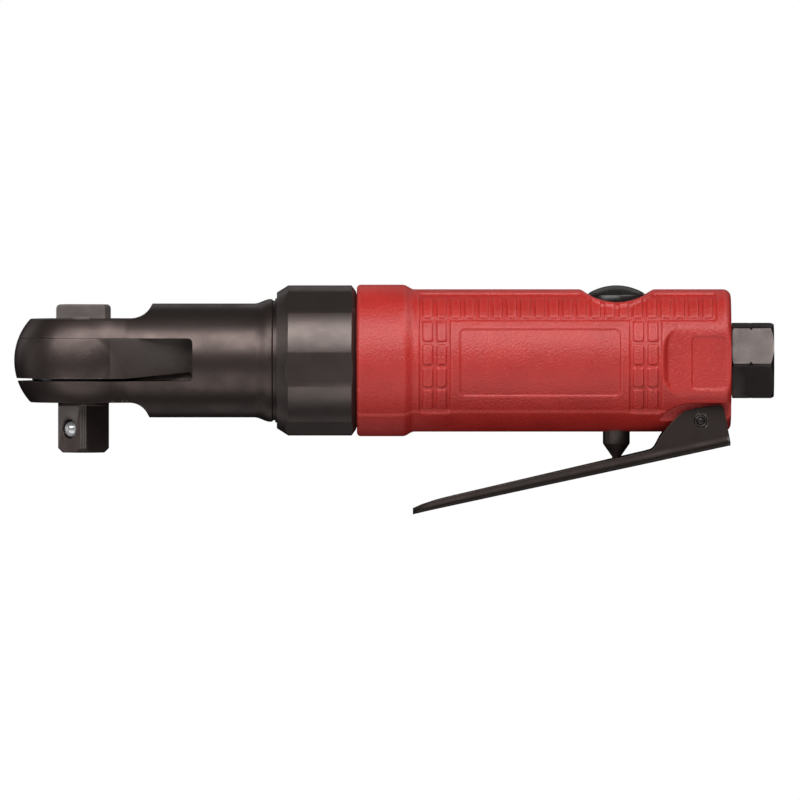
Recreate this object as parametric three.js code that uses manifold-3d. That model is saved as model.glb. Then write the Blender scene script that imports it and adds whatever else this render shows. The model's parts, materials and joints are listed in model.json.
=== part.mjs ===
// Compact air ratchet with a 3/8 inch square drive, built as separate pieces.
// Millimetres. The origin is the centre of the drive's end face, +X runs back
// along the body to the air inlet, and +Z points up, away from the drive.
// Most pieces are drawn in the body's own frame, whose X axis is the motor's.
import * as THREE from "three";
import { mergeVertices } from "three/addons/utils/BufferGeometryUtils.js";
import Module from "manifold-3d";

const wasm = await Module();
wasm.setup();

const { PI, sin, cos, tan, sqrt, acos } = Math;
const radians = THREE.MathUtils.degToRad;

// ---------------------------------------------------------------- dimensions

const AXIS_HEIGHT = 21.8; // motor axis above the drive's end face
const RUN = 0.1; // running clearance between turned pieces
const FIT = 0.03; // clearance of a pin pressed in its hole
const SEAM = 0.05; // gap between faces that rest on each other
const OVER = 1; // how far a cutting tool runs past the face it opens
const SIDES = 28; // sides of the large turned pieces
const FINE = 16; // sides of the small ones

// Ratchet head: a barrel about the drive axis with flat top and bottom.
const HEAD = { radius: 16.46, sideArc: 14.62, half: 9.9 };
const SLOT = { low: -4.8, high: 5.35, back: 25.9, corner: 1.1 };
const NECK = { radius: 13.5, flatEnd: 11, coveEndTop: 16.3, coveEndBottom: 15.5 };
const FLARE = { start: 41.2, end: 44.55, radius: 14.55 };
const CUP = { outer: 14.7, inner: 13.3, end: 58, flange: 15.9, flangeFrom: 48.4, flangeTo: 51 };
const TAIL_BORE = { radius: 10.2, from: 24.6, to: 33.5 };
const CARRIER_BORE = { radius: 11.8, from: 41.4, to: 47.6 };

// Drive: journals in the head, a core inside the yoke and the square below.
const SQUARE = { acrossFlats: 9.5, acrossCorners: 12.06, chamfer: 1.05 };
const COLLAR = { radius: 6.05, length: 0.85 };
const CORE = { radius: 10.2, low: -4.05, high: 5.1 };
const TOP_JOURNAL = 6.9;
const LOW_JOURNAL = 7.5;
const BUSHING = { outer: 10.9, low: -8.4, high: -4.75 };
const CLIP = { outer: 11.4, inner: 9.2, low: -9.55, high: -8.65, gap: 40 };
const WASHER = { outer: 12.2, low: -4.6, high: -4.3 };
const DETENT = { radius: 2, hole: 2.15, height: 5.6, proud: 0.7, springFrom: -2.9 };

// Yoke: a toothed ring with a forked tail round the crank's bushing.
const YOKE = { radius: 16.46, low: -4.15, high: 5.29, teeth: 36, tip: 10.7, root: 11.6 };
const FORK = { halfWidth: 7.4, slot: 5.3, half: 3.2, end: 30.1, slotFrom: 22.5, neckFrom: 26.5, corner: 1.5 };
const FORK_CHEEK = {
  from: [6.5, 15.1], to: 24.5, inner: 6.2,
  taperFrom: 10, taperTo: -2.5, keelFrom: 12.6, keel: -4.7,
};

// Pawl, rocking on a pin in the drive's core, and the button that turns it over.
const PAWL = {
  pin: 1.2, pinAt: 7, outer: 10, inner: 4.7,
  spread: 30, low: -2.4, high: 3.4, rock: 5, pocket: 3.2,
};
const BUTTON = { length: 12.19, width: 5, height: 3.4, corner: 1, turn: 16.3, stem: 3.4, stemLow: -2.2 };
const BUTTON_PLUNGER = { radius: 1.1, from: 1, to: 4.4, bore: 1.25, boreFrom: -2.7 };

// Clamp nut.
const NUT = { front: 45.8, back: 64.6, face: 16.1, radius: 17.8, flats: 34.7, lip: 14.95, thread: 16.1 };
const NUT_FLAT_TURN = 6.6;
const NUT_CHAMFERS = { front: 2.7, back: 1.1, backRadius: 16.3 };

// Crankshaft and its reduction gear.
const CRANK = { throw: 1.2, pin: 1.6, pinFrom: 24, pinTo: 30.6, shaft: 5.8, flange: 11.3, from: 42, to: 46 };
const DRIVE_BUSHING = { radius: 2.6, from: 24.6, to: 29.6 };
const CRANK_BEARING = { from: 34, to: 41, outer: 9.5, cup: 8.2, pitch: 7, roller: 0.96, rollers: 8 };
const GEAR = { module: 0.6, sun: 12, planet: 12, ring: 36, addendum: 0.5, dedendum: 0.68, backlash: 0.19 };
const GEAR_FACE = { from: 48.6, to: 55.4 };
const RING_GEAR = { from: 48, to: 56, outer: 13.2 };
const PLANET_PIN = { radius: 1.2, from: 42.3, to: 55.8 };
const SPACER = { from: 56.2, to: 57.9, hole: 4.7 };

// Vane motor.
const BEARING = { bore: 4.5, outer: 8.5, width: 5, pitch: 6.5, ball: 1.2, balls: 6, land: 0.75 };
const FRONT_PLATE = { from: 58.2, to: 64, bearingFrom: 58.5 };
const REAR_PLATE = { from: 92.2, to: 98, bearingFrom: 92.7 };
const PLATE = { radius: 13.8, hole: 5.2 };
const CYLINDER = { from: 64.2, to: 92, bore: 11.6, offset: 1.1 };
const EXHAUST_PORT = { length: 10, height: 2.4, count: 2, pitch: 13 };
const DOWEL = { radius: 1, at: 12.3, from: 59, to: 97.5 };
const ROTOR = {
  radius: 10.3, from: 64.45, to: 91.75, slot: 1.7,
  slotFloor: 5, end: 98, neck: 3, sides: 24,
};
const BLADE = { thickness: 1.5, inner: 5.2, outer: 10.25, count: 5, endGap: 0.15 };

// Red motor housing.
const NOSE = { from: 51.3, outer: 15.9, inner: 14.9 };
const HANDLE = { from: 64.75, collar: 17.95, collarTo: 75.6, radius: 16.87, at: 78.4, back: 153.3 };
const HANDLE_EDGES = { front: 0.9, back: 1.7 };
const MOTOR_BORE = { radius: 14, to: 98.2, manifold: 12.5, manifoldTo: 101 };
const SIDE_FLAT = { at: 15.1, from: 138.2, half: 9, corner: 5.5 };
const EAR_POCKET = { inside: 9.3, roof: -9.9 };
const SCOOP = { radius: 13.6, floor: 13.9, edge: 20 };
const INLET_BORE = { radius: 8, from: 138, passage: 4 };
const MUFFLER = { inner: 9.4, outer: 12.2, from: 143 };
const EXHAUST_WAY = { radius: 1.4, at: 10.8 };
const MOTOR_WAY = { radius: 2.6, height: -8.3 };

// Throttle valve, upright in the housing.
const VALVE = { at: 126.2, chamber: 6, seatFloor: -5.5, lower: 5, lowerFloor: -11.5, guide: 3.3 };
const PLUNGER = {
  radius: 3.2, tip: -23.96, tipRadius: 1, coneTop: -19.7,
  shoulder: -10.6, stem: 1.4, top: -3.35,
};
const SEAT = { outer: 5.9, hole: 2.4, low: -5.4, high: -3.4 };
const POPPET = { radius: 4.4, low: -3.2, high: -1.7, boss: 1.6, top: 2 };
const VALVE_SPRING = { radius: 3, wire: 0.45, low: -1.1, high: 7.1, turns: 5 };
const KNOB = { radius: 7.2, recess: 7.45, floor: 13.6, low: 13.8, top: 17.86, dome: 12.7 };
const KNOB_STEM = { radius: 5.8, low: 7.6, hollow: 4, hollowTop: 11, slot: 1.3, slotDepth: 1 };
const KNOB_SEAL = { at: 11.6, ring: 5.4, wire: 0.5 };
const PLUNGER_SEAL = { at: -14, ring: 3.85, wire: 0.5 };

// Throttle lever: a stamped channel on a cross pin. Its points are measured
// from the pin, which is the joint's own axis.
const LEVER_PIN = { x: 146.1, height: -14.2, radius: 1.5, half: 11.2, chamfer: 0.3 };
const LEVER = { sheet: 1.5, slope: 12.26, underX: 4.7, underZ: -6.3, hole: 1.58 };
const LEVER_PLAN = { rear: 11, tip: 6.6, taperFrom: -11 };
const LEVER_TIP = -67.8;

// Air inlet.
const INLET = { from: 153.55, to: 163.5, flats: 17, turn: 5.3, chamfer: 0.8, notchAt: 158, notch: 0.75 };
const INLET_SPIGOT = { radius: 7.85, from: 139.6, bore: 5.7 };
const INLET_SEAL = { at: 142.5, ring: 7.45, wire: 0.45 };
const SCREEN = { from: 138.4, to: 139.3, radius: 7.6, hole: 1.1, pitch: 3.1 };
const SILENCER = { from: 143.4, to: 149.4 };
const DEFLECTOR = { from: 149.8, to: 152.9, slots: 8, slot: 1.4 };

// ------------------------------------------------------------------- shapes

// A closed indexed mesh as a solid, with its faces pointing out.
function toSolid(geometry) {
  geometry.deleteAttribute("normal");
  geometry.deleteAttribute("uv");
  const merged = mergeVertices(geometry, 1e-4);
  const at = merged.attributes.position;
  const corners = [0, 1, 2].map(() => new THREE.Vector3());
  const triangles = [];
  let volume = 0;
  for (let i = 0; i < merged.index.count; i += 3) {
    const [a, b, c] = [0, 1, 2].map((k) => merged.index.getX(i + k));
    if (a === b || b === c || c === a) continue;
    [a, b, c].forEach((vertex, k) => corners[k].fromBufferAttribute(at, vertex));
    volume += corners[0].dot(corners[1].clone().cross(corners[2]));
    triangles.push([a, b, c]);
  }
  if (volume < 0) triangles.forEach((triangle) => triangle.reverse());
  return new wasm.Manifold(new wasm.Mesh({
    numProp: 3,
    vertProperties: new Float32Array(at.array),
    triVerts: new Uint32Array(triangles.flat()),
  }));
}

function toGeometry(body) {
  const mesh = body.getMesh();
  const geometry = new THREE.BufferGeometry();
  geometry.setAttribute("position", new THREE.BufferAttribute(mesh.vertProperties, 3));
  geometry.setIndex(new THREE.BufferAttribute(mesh.triVerts, 1));
  return geometry;
}

const join = (...shapes) => toGeometry(shapes.map(toSolid).reduce((a, b) => a.add(b)));
const cut = (base, ...tools) => toGeometry(tools.map(toSolid).reduce((a, b) => a.subtract(b), toSolid(base)));
const overlap = (...shapes) => toGeometry(shapes.map(toSolid).reduce((a, b) => a.intersect(b)));

// Turned about the X or Z axis from [along, radius] points.
function turned(axis, profile, sides = SIDES) {
  const points = profile.map(([along, radius]) => new THREE.Vector2(radius, along));
  const geometry = new THREE.LatheGeometry(points, sides);
  return axis === "x" ? geometry.rotateZ(-PI / 2) : geometry.rotateX(PI / 2);
}

function rod(axis, from, to, radius, sides = SIDES) {
  return turned(axis, [[from, 0], [from, radius], [to, radius], [to, 0]], sides);
}

function tube(axis, from, to, outer, inner, sides = SIDES) {
  return turned(axis, [[from, inner], [from, outer], [to, outer], [to, inner], [from, inner]], sides);
}

function box(low, high) {
  const size = high.map((value, i) => value - low[i]);
  const middle = high.map((value, i) => (value + low[i]) / 2);
  return new THREE.BoxGeometry(...size).translate(...middle);
}

function outline(points) {
  return new THREE.Shape(points.map(([a, b]) => new THREE.Vector2(a, b)));
}

function extruded(shape, depth) {
  return new THREE.ExtrudeGeometry(shape, { depth, bevelEnabled: false, curveSegments: 8 });
}

// A shape of (x, y) points, standing from z = low to z = high.
const standing = (shape, low, high) => extruded(shape, high - low).translate(0, 0, low);

// A shape of (x, z) points, running from y = low to y = high.
const across = (shape, low, high) => extruded(shape, high - low).rotateX(PI / 2).translate(0, high, 0);

// A shape of (y, z) points, running from x = low to x = high.
const alongX = (shape, low, high) =>
  extruded(shape, high - low).rotateZ(PI / 2).rotateY(PI / 2).translate(low, 0, 0);

// The same shape of (x, z) points on both flanks, from y = inner to y = outer.
const bothSides = (shape, inner, outer) => [across(shape, -outer, -inner), across(shape, inner, outer)];

// A cylinder whose axis is parallel to Y.
const crossRod = (x, z, low, high, radius, sides) => rod("z", low, high, radius, sides)
  .rotateX(PI / 2).translate(x, 0, z);

// Points of an arc from one angle to another, in degrees.
function arc(x, y, radius, from, to, steps) {
  return Array.from({ length: steps + 1 }, (_, i) => {
    const angle = radians(from + ((to - from) * i) / steps);
    return [x + radius * cos(angle), y + radius * sin(angle)];
  });
}

function polygon(acrossFlats, count, turn) {
  const radius = acrossFlats / 2 / cos(PI / count);
  return outline(arc(0, 0, radius, turn, turn + 360, count).slice(0, count));
}

// An O-ring: a ring of round section about X or Z.
function ring(axis, at, radius, wire) {
  return turned(axis, arc(at, radius, wire, 360, 0, 6), FINE);
}

class Helix extends THREE.Curve {
  constructor(radius, low, high, turns) {
    super();
    Object.assign(this, { radius, low, high, turns });
  }

  getPoint(t, target = new THREE.Vector3()) {
    const angle = 2 * PI * this.turns * t;
    const height = this.low + (this.high - this.low) * t;
    return target.set(this.radius * cos(angle), this.radius * sin(angle), height);
  }
}

// A coil spring about Z.
function spring(radius, wire, low, high, turns) {
  const section = outline(arc(0, 0, wire, 0, 360, 4).slice(0, 4));
  const extrudePath = new Helix(radius, low + wire, high - wire, turns);
  return new THREE.ExtrudeGeometry(section, { steps: turns * 8, bevelEnabled: false, extrudePath });
}

// Involute gear outline, one tooth centred on the first axis. Extra is added
// to the tooth's thickness at the pitch circle.
function gearOutline(teeth, tip, root, extra) {
  const pitch = (GEAR.module * teeth) / 2;
  const base = pitch * cos(radians(20));
  const involute = (radius) => tan(acos(base / radius)) - acos(base / radius);
  const half = PI / 2 / teeth + extra / 2 / pitch;
  const foot = Math.max(root, base + 0.01);
  const points = [];
  for (let tooth = 0; tooth < teeth; tooth += 1) {
    const middle = (2 * PI * tooth) / teeth;
    const flank = [foot, tip].map((radius) => [radius, half + involute(pitch) - involute(radius)]);
    if (root < foot) flank.unshift([root, flank[0][1]]);
    const rising = flank.map(([r, a]) => [r, middle - a]);
    const falling = flank.map(([r, a]) => [r, middle + a]).reverse();
    const polar = [...rising, ...falling];
    points.push(...polar.map(([r, a]) => [r * cos(a), r * sin(a)]));
  }
  return outline(points);
}

// ---------------------------------------------------------------- materials

const finish = (color, metalness, roughness) =>
  new THREE.MeshStandardMaterial({ color, metalness, roughness });
const BLACK_STEEL = finish("#3a302e", 0.8, 0.42);
const BRIGHT_STEEL = finish("#b9babd", 0.95, 0.3);
const GROUND_STEEL = finish("#8d8f93", 0.9, 0.4);
const RED_PAINT = finish("#ba322e", 0.1, 0.5);
const BRONZE = finish("#b08a4a", 0.9, 0.4);
const RUBBER = finish("#1a1a1a", 0, 0.8);
const PHENOLIC = finish("#7a5230", 0, 0.7);
const BLACK_PLASTIC = finish("#26201f", 0, 0.45);
const FELT = finish("#b9b3a4", 0, 0.95);
const ALUMINIUM = finish("#a9abad", 0.9, 0.45);

const tool = new THREE.Group();
const body = new THREE.Group();
body.position.z = AXIS_HEIGHT;
tool.add(body);

function piece(name, geometry, material, parent = body) {
  const mesh = new THREE.Mesh(geometry, material.clone());
  mesh.name = name;
  parent.add(mesh);
}

function subgroup(x, y, z) {
  const group = new THREE.Group();
  group.position.set(x, y, z);
  body.add(group);
  return group;
}

// ------------------------------------------------------------- ratchet head

// Barrel side: an arc in height, about the drive axis.
function barrel(radius, low, high) {
  const reach = HEAD.sideArc;
  const side = Array.from({ length: 5 }, (_, i) => {
    const height = low + ((high - low) * i) / 4;
    return [height, radius - reach + sqrt(reach * reach - height * height)];
  });
  return turned("z", [[low, 0], ...side, [high, 0]]);
}

// Side view of the neck: flats behind the head that cove up to full size.
function neckOutline() {
  const cove = (end, sign) => {
    const run = end - NECK.flatEnd;
    const rise = NECK.radius - HEAD.half;
    const radius = (run * run + rise * rise) / (2 * rise);
    const sweep = (acos(1 - rise / radius) * 180) / PI;
    return arc(NECK.flatEnd, HEAD.half + radius, radius, -90, -90 + sweep, 4).map(([x, z]) => [x, sign * z]);
  };
  const far = CUP.end + OVER;
  const tall = CUP.flange + OVER;
  return outline([
    [0, -HEAD.half], ...cove(NECK.coveEndBottom, -1), [NECK.coveEndBottom, -tall], [far, -tall],
    [far, tall], [NECK.coveEndTop, tall], ...cove(NECK.coveEndTop, 1).reverse(), [0, HEAD.half],
  ]);
}

function slotOutline() {
  const { low, high, back, corner } = SLOT;
  return outline([
    [-HEAD.radius - OVER, low], ...arc(back - corner, low + corner, corner, -90, 0, 4),
    ...arc(back - corner, high - corner, corner, 0, 90, 4), [-HEAD.radius - OVER, high],
  ]);
}

function ratchetHousing() {
  const neck = turned("x", [
    [0, 0], [0, NECK.radius], [FLARE.start, NECK.radius],
    [(FLARE.start + 2 * FLARE.end) / 3, NECK.radius + 0.4], [FLARE.end, FLARE.radius],
    [FLARE.end, CUP.outer], [CUP.flangeFrom, CUP.outer], [CUP.flangeFrom, CUP.flange],
    [CUP.flangeTo, CUP.flange], [CUP.flangeTo, CUP.outer], [CUP.end, CUP.outer], [CUP.end, 0],
  ]);
  const wide = CUP.flange + OVER;
  const outside = join(
    barrel(HEAD.radius, -HEAD.half, HEAD.half),
    overlap(neck, across(neckOutline(), -wide, wide)),
  );
  const bearingBore = CRANK_BEARING.outer + RUN;
  return cut(
    outside,
    across(slotOutline(), -wide, wide),
    rod("z", SLOT.high - OVER, HEAD.half + OVER, TOP_JOURNAL + RUN),
    rod("z", -HEAD.half - OVER, SLOT.low + OVER, BUSHING.outer + RUN),
    rod("z", CLIP.low - RUN, CLIP.high + RUN, CLIP.outer + RUN),
    turned("x", [
      [TAIL_BORE.from, 0], [TAIL_BORE.from, TAIL_BORE.radius], [TAIL_BORE.to, TAIL_BORE.radius],
      [TAIL_BORE.to, bearingBore], [CARRIER_BORE.from, bearingBore], [CARRIER_BORE.from, CARRIER_BORE.radius],
      [CARRIER_BORE.to, CARRIER_BORE.radius], [CARRIER_BORE.to, CUP.inner], [CUP.end + OVER, CUP.inner],
      [CUP.end + OVER, 0],
    ]),
  );
}

function clampNut() {
  const shell = turned("x", [
    [NUT.front, NUT.lip], [NUT.front, NUT.face], [NUT.front + NUT_CHAMFERS.front, NUT.radius],
    [NUT.back - NUT_CHAMFERS.back, NUT.radius], [NUT.back, NUT_CHAMFERS.backRadius],
    [NUT.back, NUT.thread], [CUP.flangeFrom - 0.3, NUT.thread], [CUP.flangeFrom - 0.3, NUT.lip],
    [NUT.front, NUT.lip],
  ], 36);
  const flats = polygon(NUT.flats, 6, NUT_FLAT_TURN + 30);
  return overlap(shell, alongX(flats, NUT.front - OVER, NUT.back + OVER));
}

function ratchetYoke() {
  const inside = Array.from({ length: 2 * YOKE.teeth }, (_, i) => {
    const angle = (PI * i) / YOKE.teeth;
    const radius = i % 2 ? YOKE.tip : YOKE.root;
    return [radius * cos(angle), radius * sin(angle)];
  });
  const { halfWidth, slot, half, end, slotFrom, neckFrom, corner } = FORK;
  const { from: [cheekX, cheekY], to, keelFrom, keel, taperFrom, taperTo, inner } = FORK_CHEEK;
  const plan = outline([
    [0, -cheekY], [cheekX, -cheekY], [to, -halfWidth], [neckFrom, -halfWidth],
    [neckFrom, halfWidth], [to, halfWidth], [cheekX, cheekY], [0, cheekY],
  ]);
  const taper = outline([
    [taperFrom, YOKE.low], [neckFrom + OVER, taperTo],
    [neckFrom + OVER, YOKE.low - OVER], [taperFrom, YOKE.low - OVER],
  ]);
  const tail = join(
    cut(standing(plan, YOKE.low, YOKE.high), ...bothSides(taper, inner, YOKE.radius + OVER)),
    box([keelFrom, -inner, keel], [neckFrom, inner, YOKE.low + OVER]),
    box([neckFrom - OVER, -halfWidth, -half], [end, halfWidth, half]),
  );
  const forkSlot = outline([
    [slotFrom + corner, -slot], [end + OVER, -slot], [end + OVER, slot], [slotFrom + corner, slot],
    [slotFrom, slot - corner], [slotFrom, corner - slot],
  ]);
  return cut(
    join(barrel(YOKE.radius, YOKE.low, YOKE.high), tail),
    standing(outline(inside), YOKE.low - OVER, YOKE.high + OVER),
    standing(forkSlot, YOKE.low - OVER, YOKE.high + OVER),
  );
}

// The sector that the pawl rocks in, open through the core's side.
function pawlPocket() {
  const reach = PAWL.spread + 8;
  const shape = outline([
    ...arc(0, 0, CORE.radius + OVER, 180 - reach, 180 + reach, 8),
    ...arc(0, 0, PAWL.pocket, 180 + reach, 180 - reach, 4),
  ]);
  return standing(shape, PAWL.low - 0.2, PAWL.high + 0.2);
}

function anvil() {
  const tip = -AXIS_HEIGHT;
  const collarLow = -HEAD.half - COLLAR.length;
  const turnedPart = turned("z", [
    [collarLow, 0], [collarLow, COLLAR.radius], [-HEAD.half - SEAM, COLLAR.radius],
    [-HEAD.half - SEAM, LOW_JOURNAL], [CORE.low, LOW_JOURNAL],
    [CORE.low, CORE.radius], [CORE.high, CORE.radius],
    [CORE.high, TOP_JOURNAL], [HEAD.half - RUN, TOP_JOURNAL], [HEAD.half - RUN, 0],
  ]);
  const square = overlap(
    standing(polygon(SQUARE.acrossFlats, 4, 0), tip, -HEAD.half),
    turned("z", [
      [tip, 0], [tip, SQUARE.acrossCorners / 2 - SQUARE.chamfer],
      [tip + SQUARE.chamfer, SQUARE.acrossCorners / 2],
      [-HEAD.half, SQUARE.acrossCorners / 2], [-HEAD.half, 0],
    ], 32),
  );
  const ballHole = rod("x", DETENT.springFrom - 0.2, SQUARE.acrossFlats, DETENT.hole, FINE)
    .rotateZ(radians(225)).translate(0, 0, tip + DETENT.height);
  return cut(
    join(turnedPart, square),
    pawlPocket(),
    rod("z", BUTTON.stemLow - 0.3, HEAD.half + OVER, BUTTON.stem + RUN, FINE),
    rod("z", CORE.low - OVER, CORE.high + OVER, PAWL.pin + FIT, FINE).translate(-PAWL.pinAt, 0, 0),
    ballHole,
  );
}

// Drawn round its pin, with the drive axis at x = +pinAt.
function ratchetPawl() {
  const { outer, inner, spread, pinAt } = PAWL;
  const shape = outline([
    ...arc(pinAt, 0, outer, 180 - spread, 180 + spread, 10),
    [pinAt - outer * cos(radians(spread)) + 1.5, -outer * sin(radians(spread)) + 0.1],
    [pinAt - inner - 0.9, -3.1], [pinAt - inner, -1.9], [pinAt - inner, 1.9], [pinAt - inner - 0.9, 3.1],
    [pinAt - outer * cos(radians(spread)) + 1.5, outer * sin(radians(spread)) - 0.1],
  ]);
  return cut(
    standing(shape, PAWL.low, PAWL.high),
    rod("z", PAWL.low - OVER, PAWL.high + OVER, PAWL.pin + RUN, FINE),
  );
}

// A bar with rounded top corners on a round stem that is bored for its plunger.
function reverseButton() {
  const { length, width, height, corner, stem, stemLow } = BUTTON;
  const low = HEAD.half + SEAM;
  const high = HEAD.half + height;
  const half = length / 2;
  const bar = outline([
    [-half, low], [half, low], ...arc(half - corner, high - corner, corner, 0, 90, 4),
    ...arc(corner - half, high - corner, corner, 90, 180, 4),
  ]);
  return cut(
    join(across(bar, -width / 2, width / 2), rod("z", stemLow, low + 0.5, stem, FINE)),
    rod("x", BUTTON_PLUNGER.boreFrom, stem + OVER, BUTTON_PLUNGER.bore, 12).rotateZ(PI)
      .translate(0, 0, (PAWL.low + PAWL.high) / 2),
  );
}

function retainingRing() {
  const { outer, inner, low, high, gap } = CLIP;
  const ends = (radius, back) => {
    const points = arc(0, 0, radius, gap / 2, 360 - gap / 2, 20);
    return back ? points.reverse() : points;
  };
  return standing(outline([...ends(outer, false), ...ends(inner, true)]), low, high);
}

piece("ratchet_housing", ratchetHousing(), BLACK_STEEL);
piece("clamp_nut", clampNut(), BLACK_STEEL);
piece("ratchet_yoke", ratchetYoke(), BLACK_STEEL);
piece("anvil", anvil(), BLACK_STEEL);
piece("anvil_bushing", tube("z", BUSHING.low, BUSHING.high - RUN, BUSHING.outer, LOW_JOURNAL + RUN), BRONZE);
piece("retaining_ring", retainingRing(), BLACK_STEEL);
piece("thrust_washer", tube("z", WASHER.low, WASHER.high, WASHER.outer, LOW_JOURNAL + RUN, 28),
  GROUND_STEEL);

const pawlPivot = subgroup(-PAWL.pinAt, 0, 0);
piece("pawl_pin", rod("z", CORE.low + 0.1, CORE.high - 0.1, PAWL.pin, FINE), BRIGHT_STEEL, pawlPivot);
const pawlFrame = new THREE.Group();
pawlFrame.rotation.z = radians(PAWL.rock);
pawlPivot.add(pawlFrame);
piece("ratchet_pawl", ratchetPawl(), GROUND_STEEL, pawlFrame);

const buttonFrame = subgroup(0, 0, 0);
buttonFrame.rotation.z = radians(-BUTTON.turn);
piece("reverse_button", reverseButton(), BLACK_STEEL, buttonFrame);
const plungerFrame = new THREE.Group();
plungerFrame.rotation.y = -PI / 2;
plungerFrame.position.z = (PAWL.low + PAWL.high) / 2;
buttonFrame.add(plungerFrame);
const { from: plungerBack, to: plungerNose, radius: plungerRadius, boreFrom } = BUTTON_PLUNGER;
piece("reverse_plunger", turned("z", [
  [plungerBack, 0], [plungerBack, plungerRadius], [plungerNose - 0.8, plungerRadius],
  [plungerNose - 0.2, plungerRadius / 2], [plungerNose, 0],
], 12), BRIGHT_STEEL, plungerFrame);
piece("reverse_spring", spring(0.85, 0.2, boreFrom + 0.1, plungerBack - 0.1, 3), GROUND_STEEL, plungerFrame);

const detentFrame = subgroup(0, 0, DETENT.height - AXIS_HEIGHT);
detentFrame.rotation.set(0, PI / 2, radians(225), "ZYX");
const ballCentre = SQUARE.acrossFlats / 2 + DETENT.proud - DETENT.radius;
piece("detent_ball", new THREE.SphereGeometry(DETENT.radius, 12, 8).translate(0, 0, ballCentre),
  BRIGHT_STEEL, detentFrame);
piece("detent_spring", spring(1.3, 0.28, DETENT.springFrom, ballCentre - DETENT.radius - 0.1, 3),
  GROUND_STEEL, detentFrame);

// ----------------------------------------------------- crank and reduction

const SUN_PITCH = (GEAR.module * GEAR.sun) / 2;
const PLANET_PITCH = (GEAR.module * GEAR.planet) / 2;
const RING_PITCH = (GEAR.module * GEAR.ring) / 2;
const PLANET_AT = SUN_PITCH + PLANET_PITCH;
const planetAngles = [90, 210, 330].map(radians);
const GEAR_PITCH_ANGLE = (2 * PI) / GEAR.planet;

function crankshaft() {
  const shaft = turned("x", [
    [CRANK.pinTo, 0], [CRANK.pinTo, CRANK.shaft], [CRANK.from, CRANK.shaft], [CRANK.from, CRANK.flange],
    [CRANK.to, CRANK.flange], [CRANK.to, 0],
  ]);
  const crankPin = rod("x", CRANK.pinFrom, CRANK.pinTo + OVER, CRANK.pin, FINE).translate(0, 0, CRANK.throw);
  const holes = planetAngles.map((angle) => rod("x", PLANET_PIN.from - 0.1, CRANK.to + OVER,
    PLANET_PIN.radius + FIT, 12).translate(0, PLANET_AT * cos(angle), PLANET_AT * sin(angle)));
  return cut(join(shaft, crankPin), ...holes);
}

function crankBearingRollers() {
  const { from, to, pitch, roller, rollers } = CRANK_BEARING;
  const cage = tube("x", from + 0.3, to - 0.3, pitch + 0.3, pitch - 0.3, 12);
  const all = Array.from({ length: rollers }, (_, i) => {
    const angle = (2 * PI * i) / rollers;
    return rod("x", from + 0.6, to - 0.6, roller, 6).translate(0, pitch * cos(angle), pitch * sin(angle));
  });
  return join(cage, ...all);
}

const bushingMiddle = (DRIVE_BUSHING.from + DRIVE_BUSHING.to) / 2;
piece("crankshaft", crankshaft(), GROUND_STEEL);
piece("drive_bushing", turned("x", [
  [DRIVE_BUSHING.from, CRANK.pin + RUN], [DRIVE_BUSHING.from, DRIVE_BUSHING.radius - 0.5],
  [bushingMiddle, DRIVE_BUSHING.radius], [DRIVE_BUSHING.to, DRIVE_BUSHING.radius - 0.5],
  [DRIVE_BUSHING.to, CRANK.pin + RUN], [DRIVE_BUSHING.from, CRANK.pin + RUN],
], FINE), BRIGHT_STEEL, subgroup(0, 0, CRANK.throw));
piece("crank_bearing_cup", tube("x", CRANK_BEARING.from, CRANK_BEARING.to, CRANK_BEARING.outer,
  CRANK_BEARING.cup, 24), BRIGHT_STEEL);
piece("crank_bearing_rollers", crankBearingRollers(), BRIGHT_STEEL);

const gearSolid = (teeth, turn) => alongX(
  gearOutline(teeth, (GEAR.module * teeth) / 2 + GEAR.addendum, (GEAR.module * teeth) / 2 - GEAR.dedendum,
    -GEAR.backlash),
  GEAR_FACE.from, GEAR_FACE.to,
).rotateX(turn);

// A planet is turned so that a tooth space faces the sun's tooth on its centre line.
planetAngles.forEach((angle, i) => {
  const centre = subgroup(0, PLANET_AT * cos(angle), PLANET_AT * sin(angle));
  const sunPhase = angle / GEAR_PITCH_ANGLE;
  const planetPhase = 0.5 - (sunPhase - Math.floor(sunPhase));
  const turn = angle + PI + planetPhase * GEAR_PITCH_ANGLE;
  const bore = rod("x", GEAR_FACE.from - OVER, GEAR_FACE.to + OVER, PLANET_PIN.radius + RUN, 12);
  piece(`planet_gear_${i + 1}`, cut(gearSolid(GEAR.planet, turn), bore), GROUND_STEEL, centre);
  const pin = rod("x", PLANET_PIN.from, PLANET_PIN.to, PLANET_PIN.radius, 12);
  piece(`planet_pin_${i + 1}`, pin, BRIGHT_STEEL, centre);
});

// The ring's inside is a gear outline whose teeth are the ring's spaces, half a
// pitch round so that a ring tooth enters each planet's outer space.
function ringGear() {
  const tips = RING_PITCH - GEAR.addendum;
  const inside = gearOutline(GEAR.ring, RING_PITCH + GEAR.dedendum, tips, GEAR.backlash);
  return cut(
    rod("x", RING_GEAR.from, RING_GEAR.to, RING_GEAR.outer),
    alongX(inside, RING_GEAR.from - OVER, RING_GEAR.to + OVER).rotateX(PI / GEAR.ring),
  );
}
piece("ring_gear", ringGear(), GROUND_STEEL);
piece("gear_spacer", tube("x", SPACER.from, SPACER.to, RING_GEAR.outer, SPACER.hole, 28), GROUND_STEEL);

// --------------------------------------------------------------- vane motor

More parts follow.
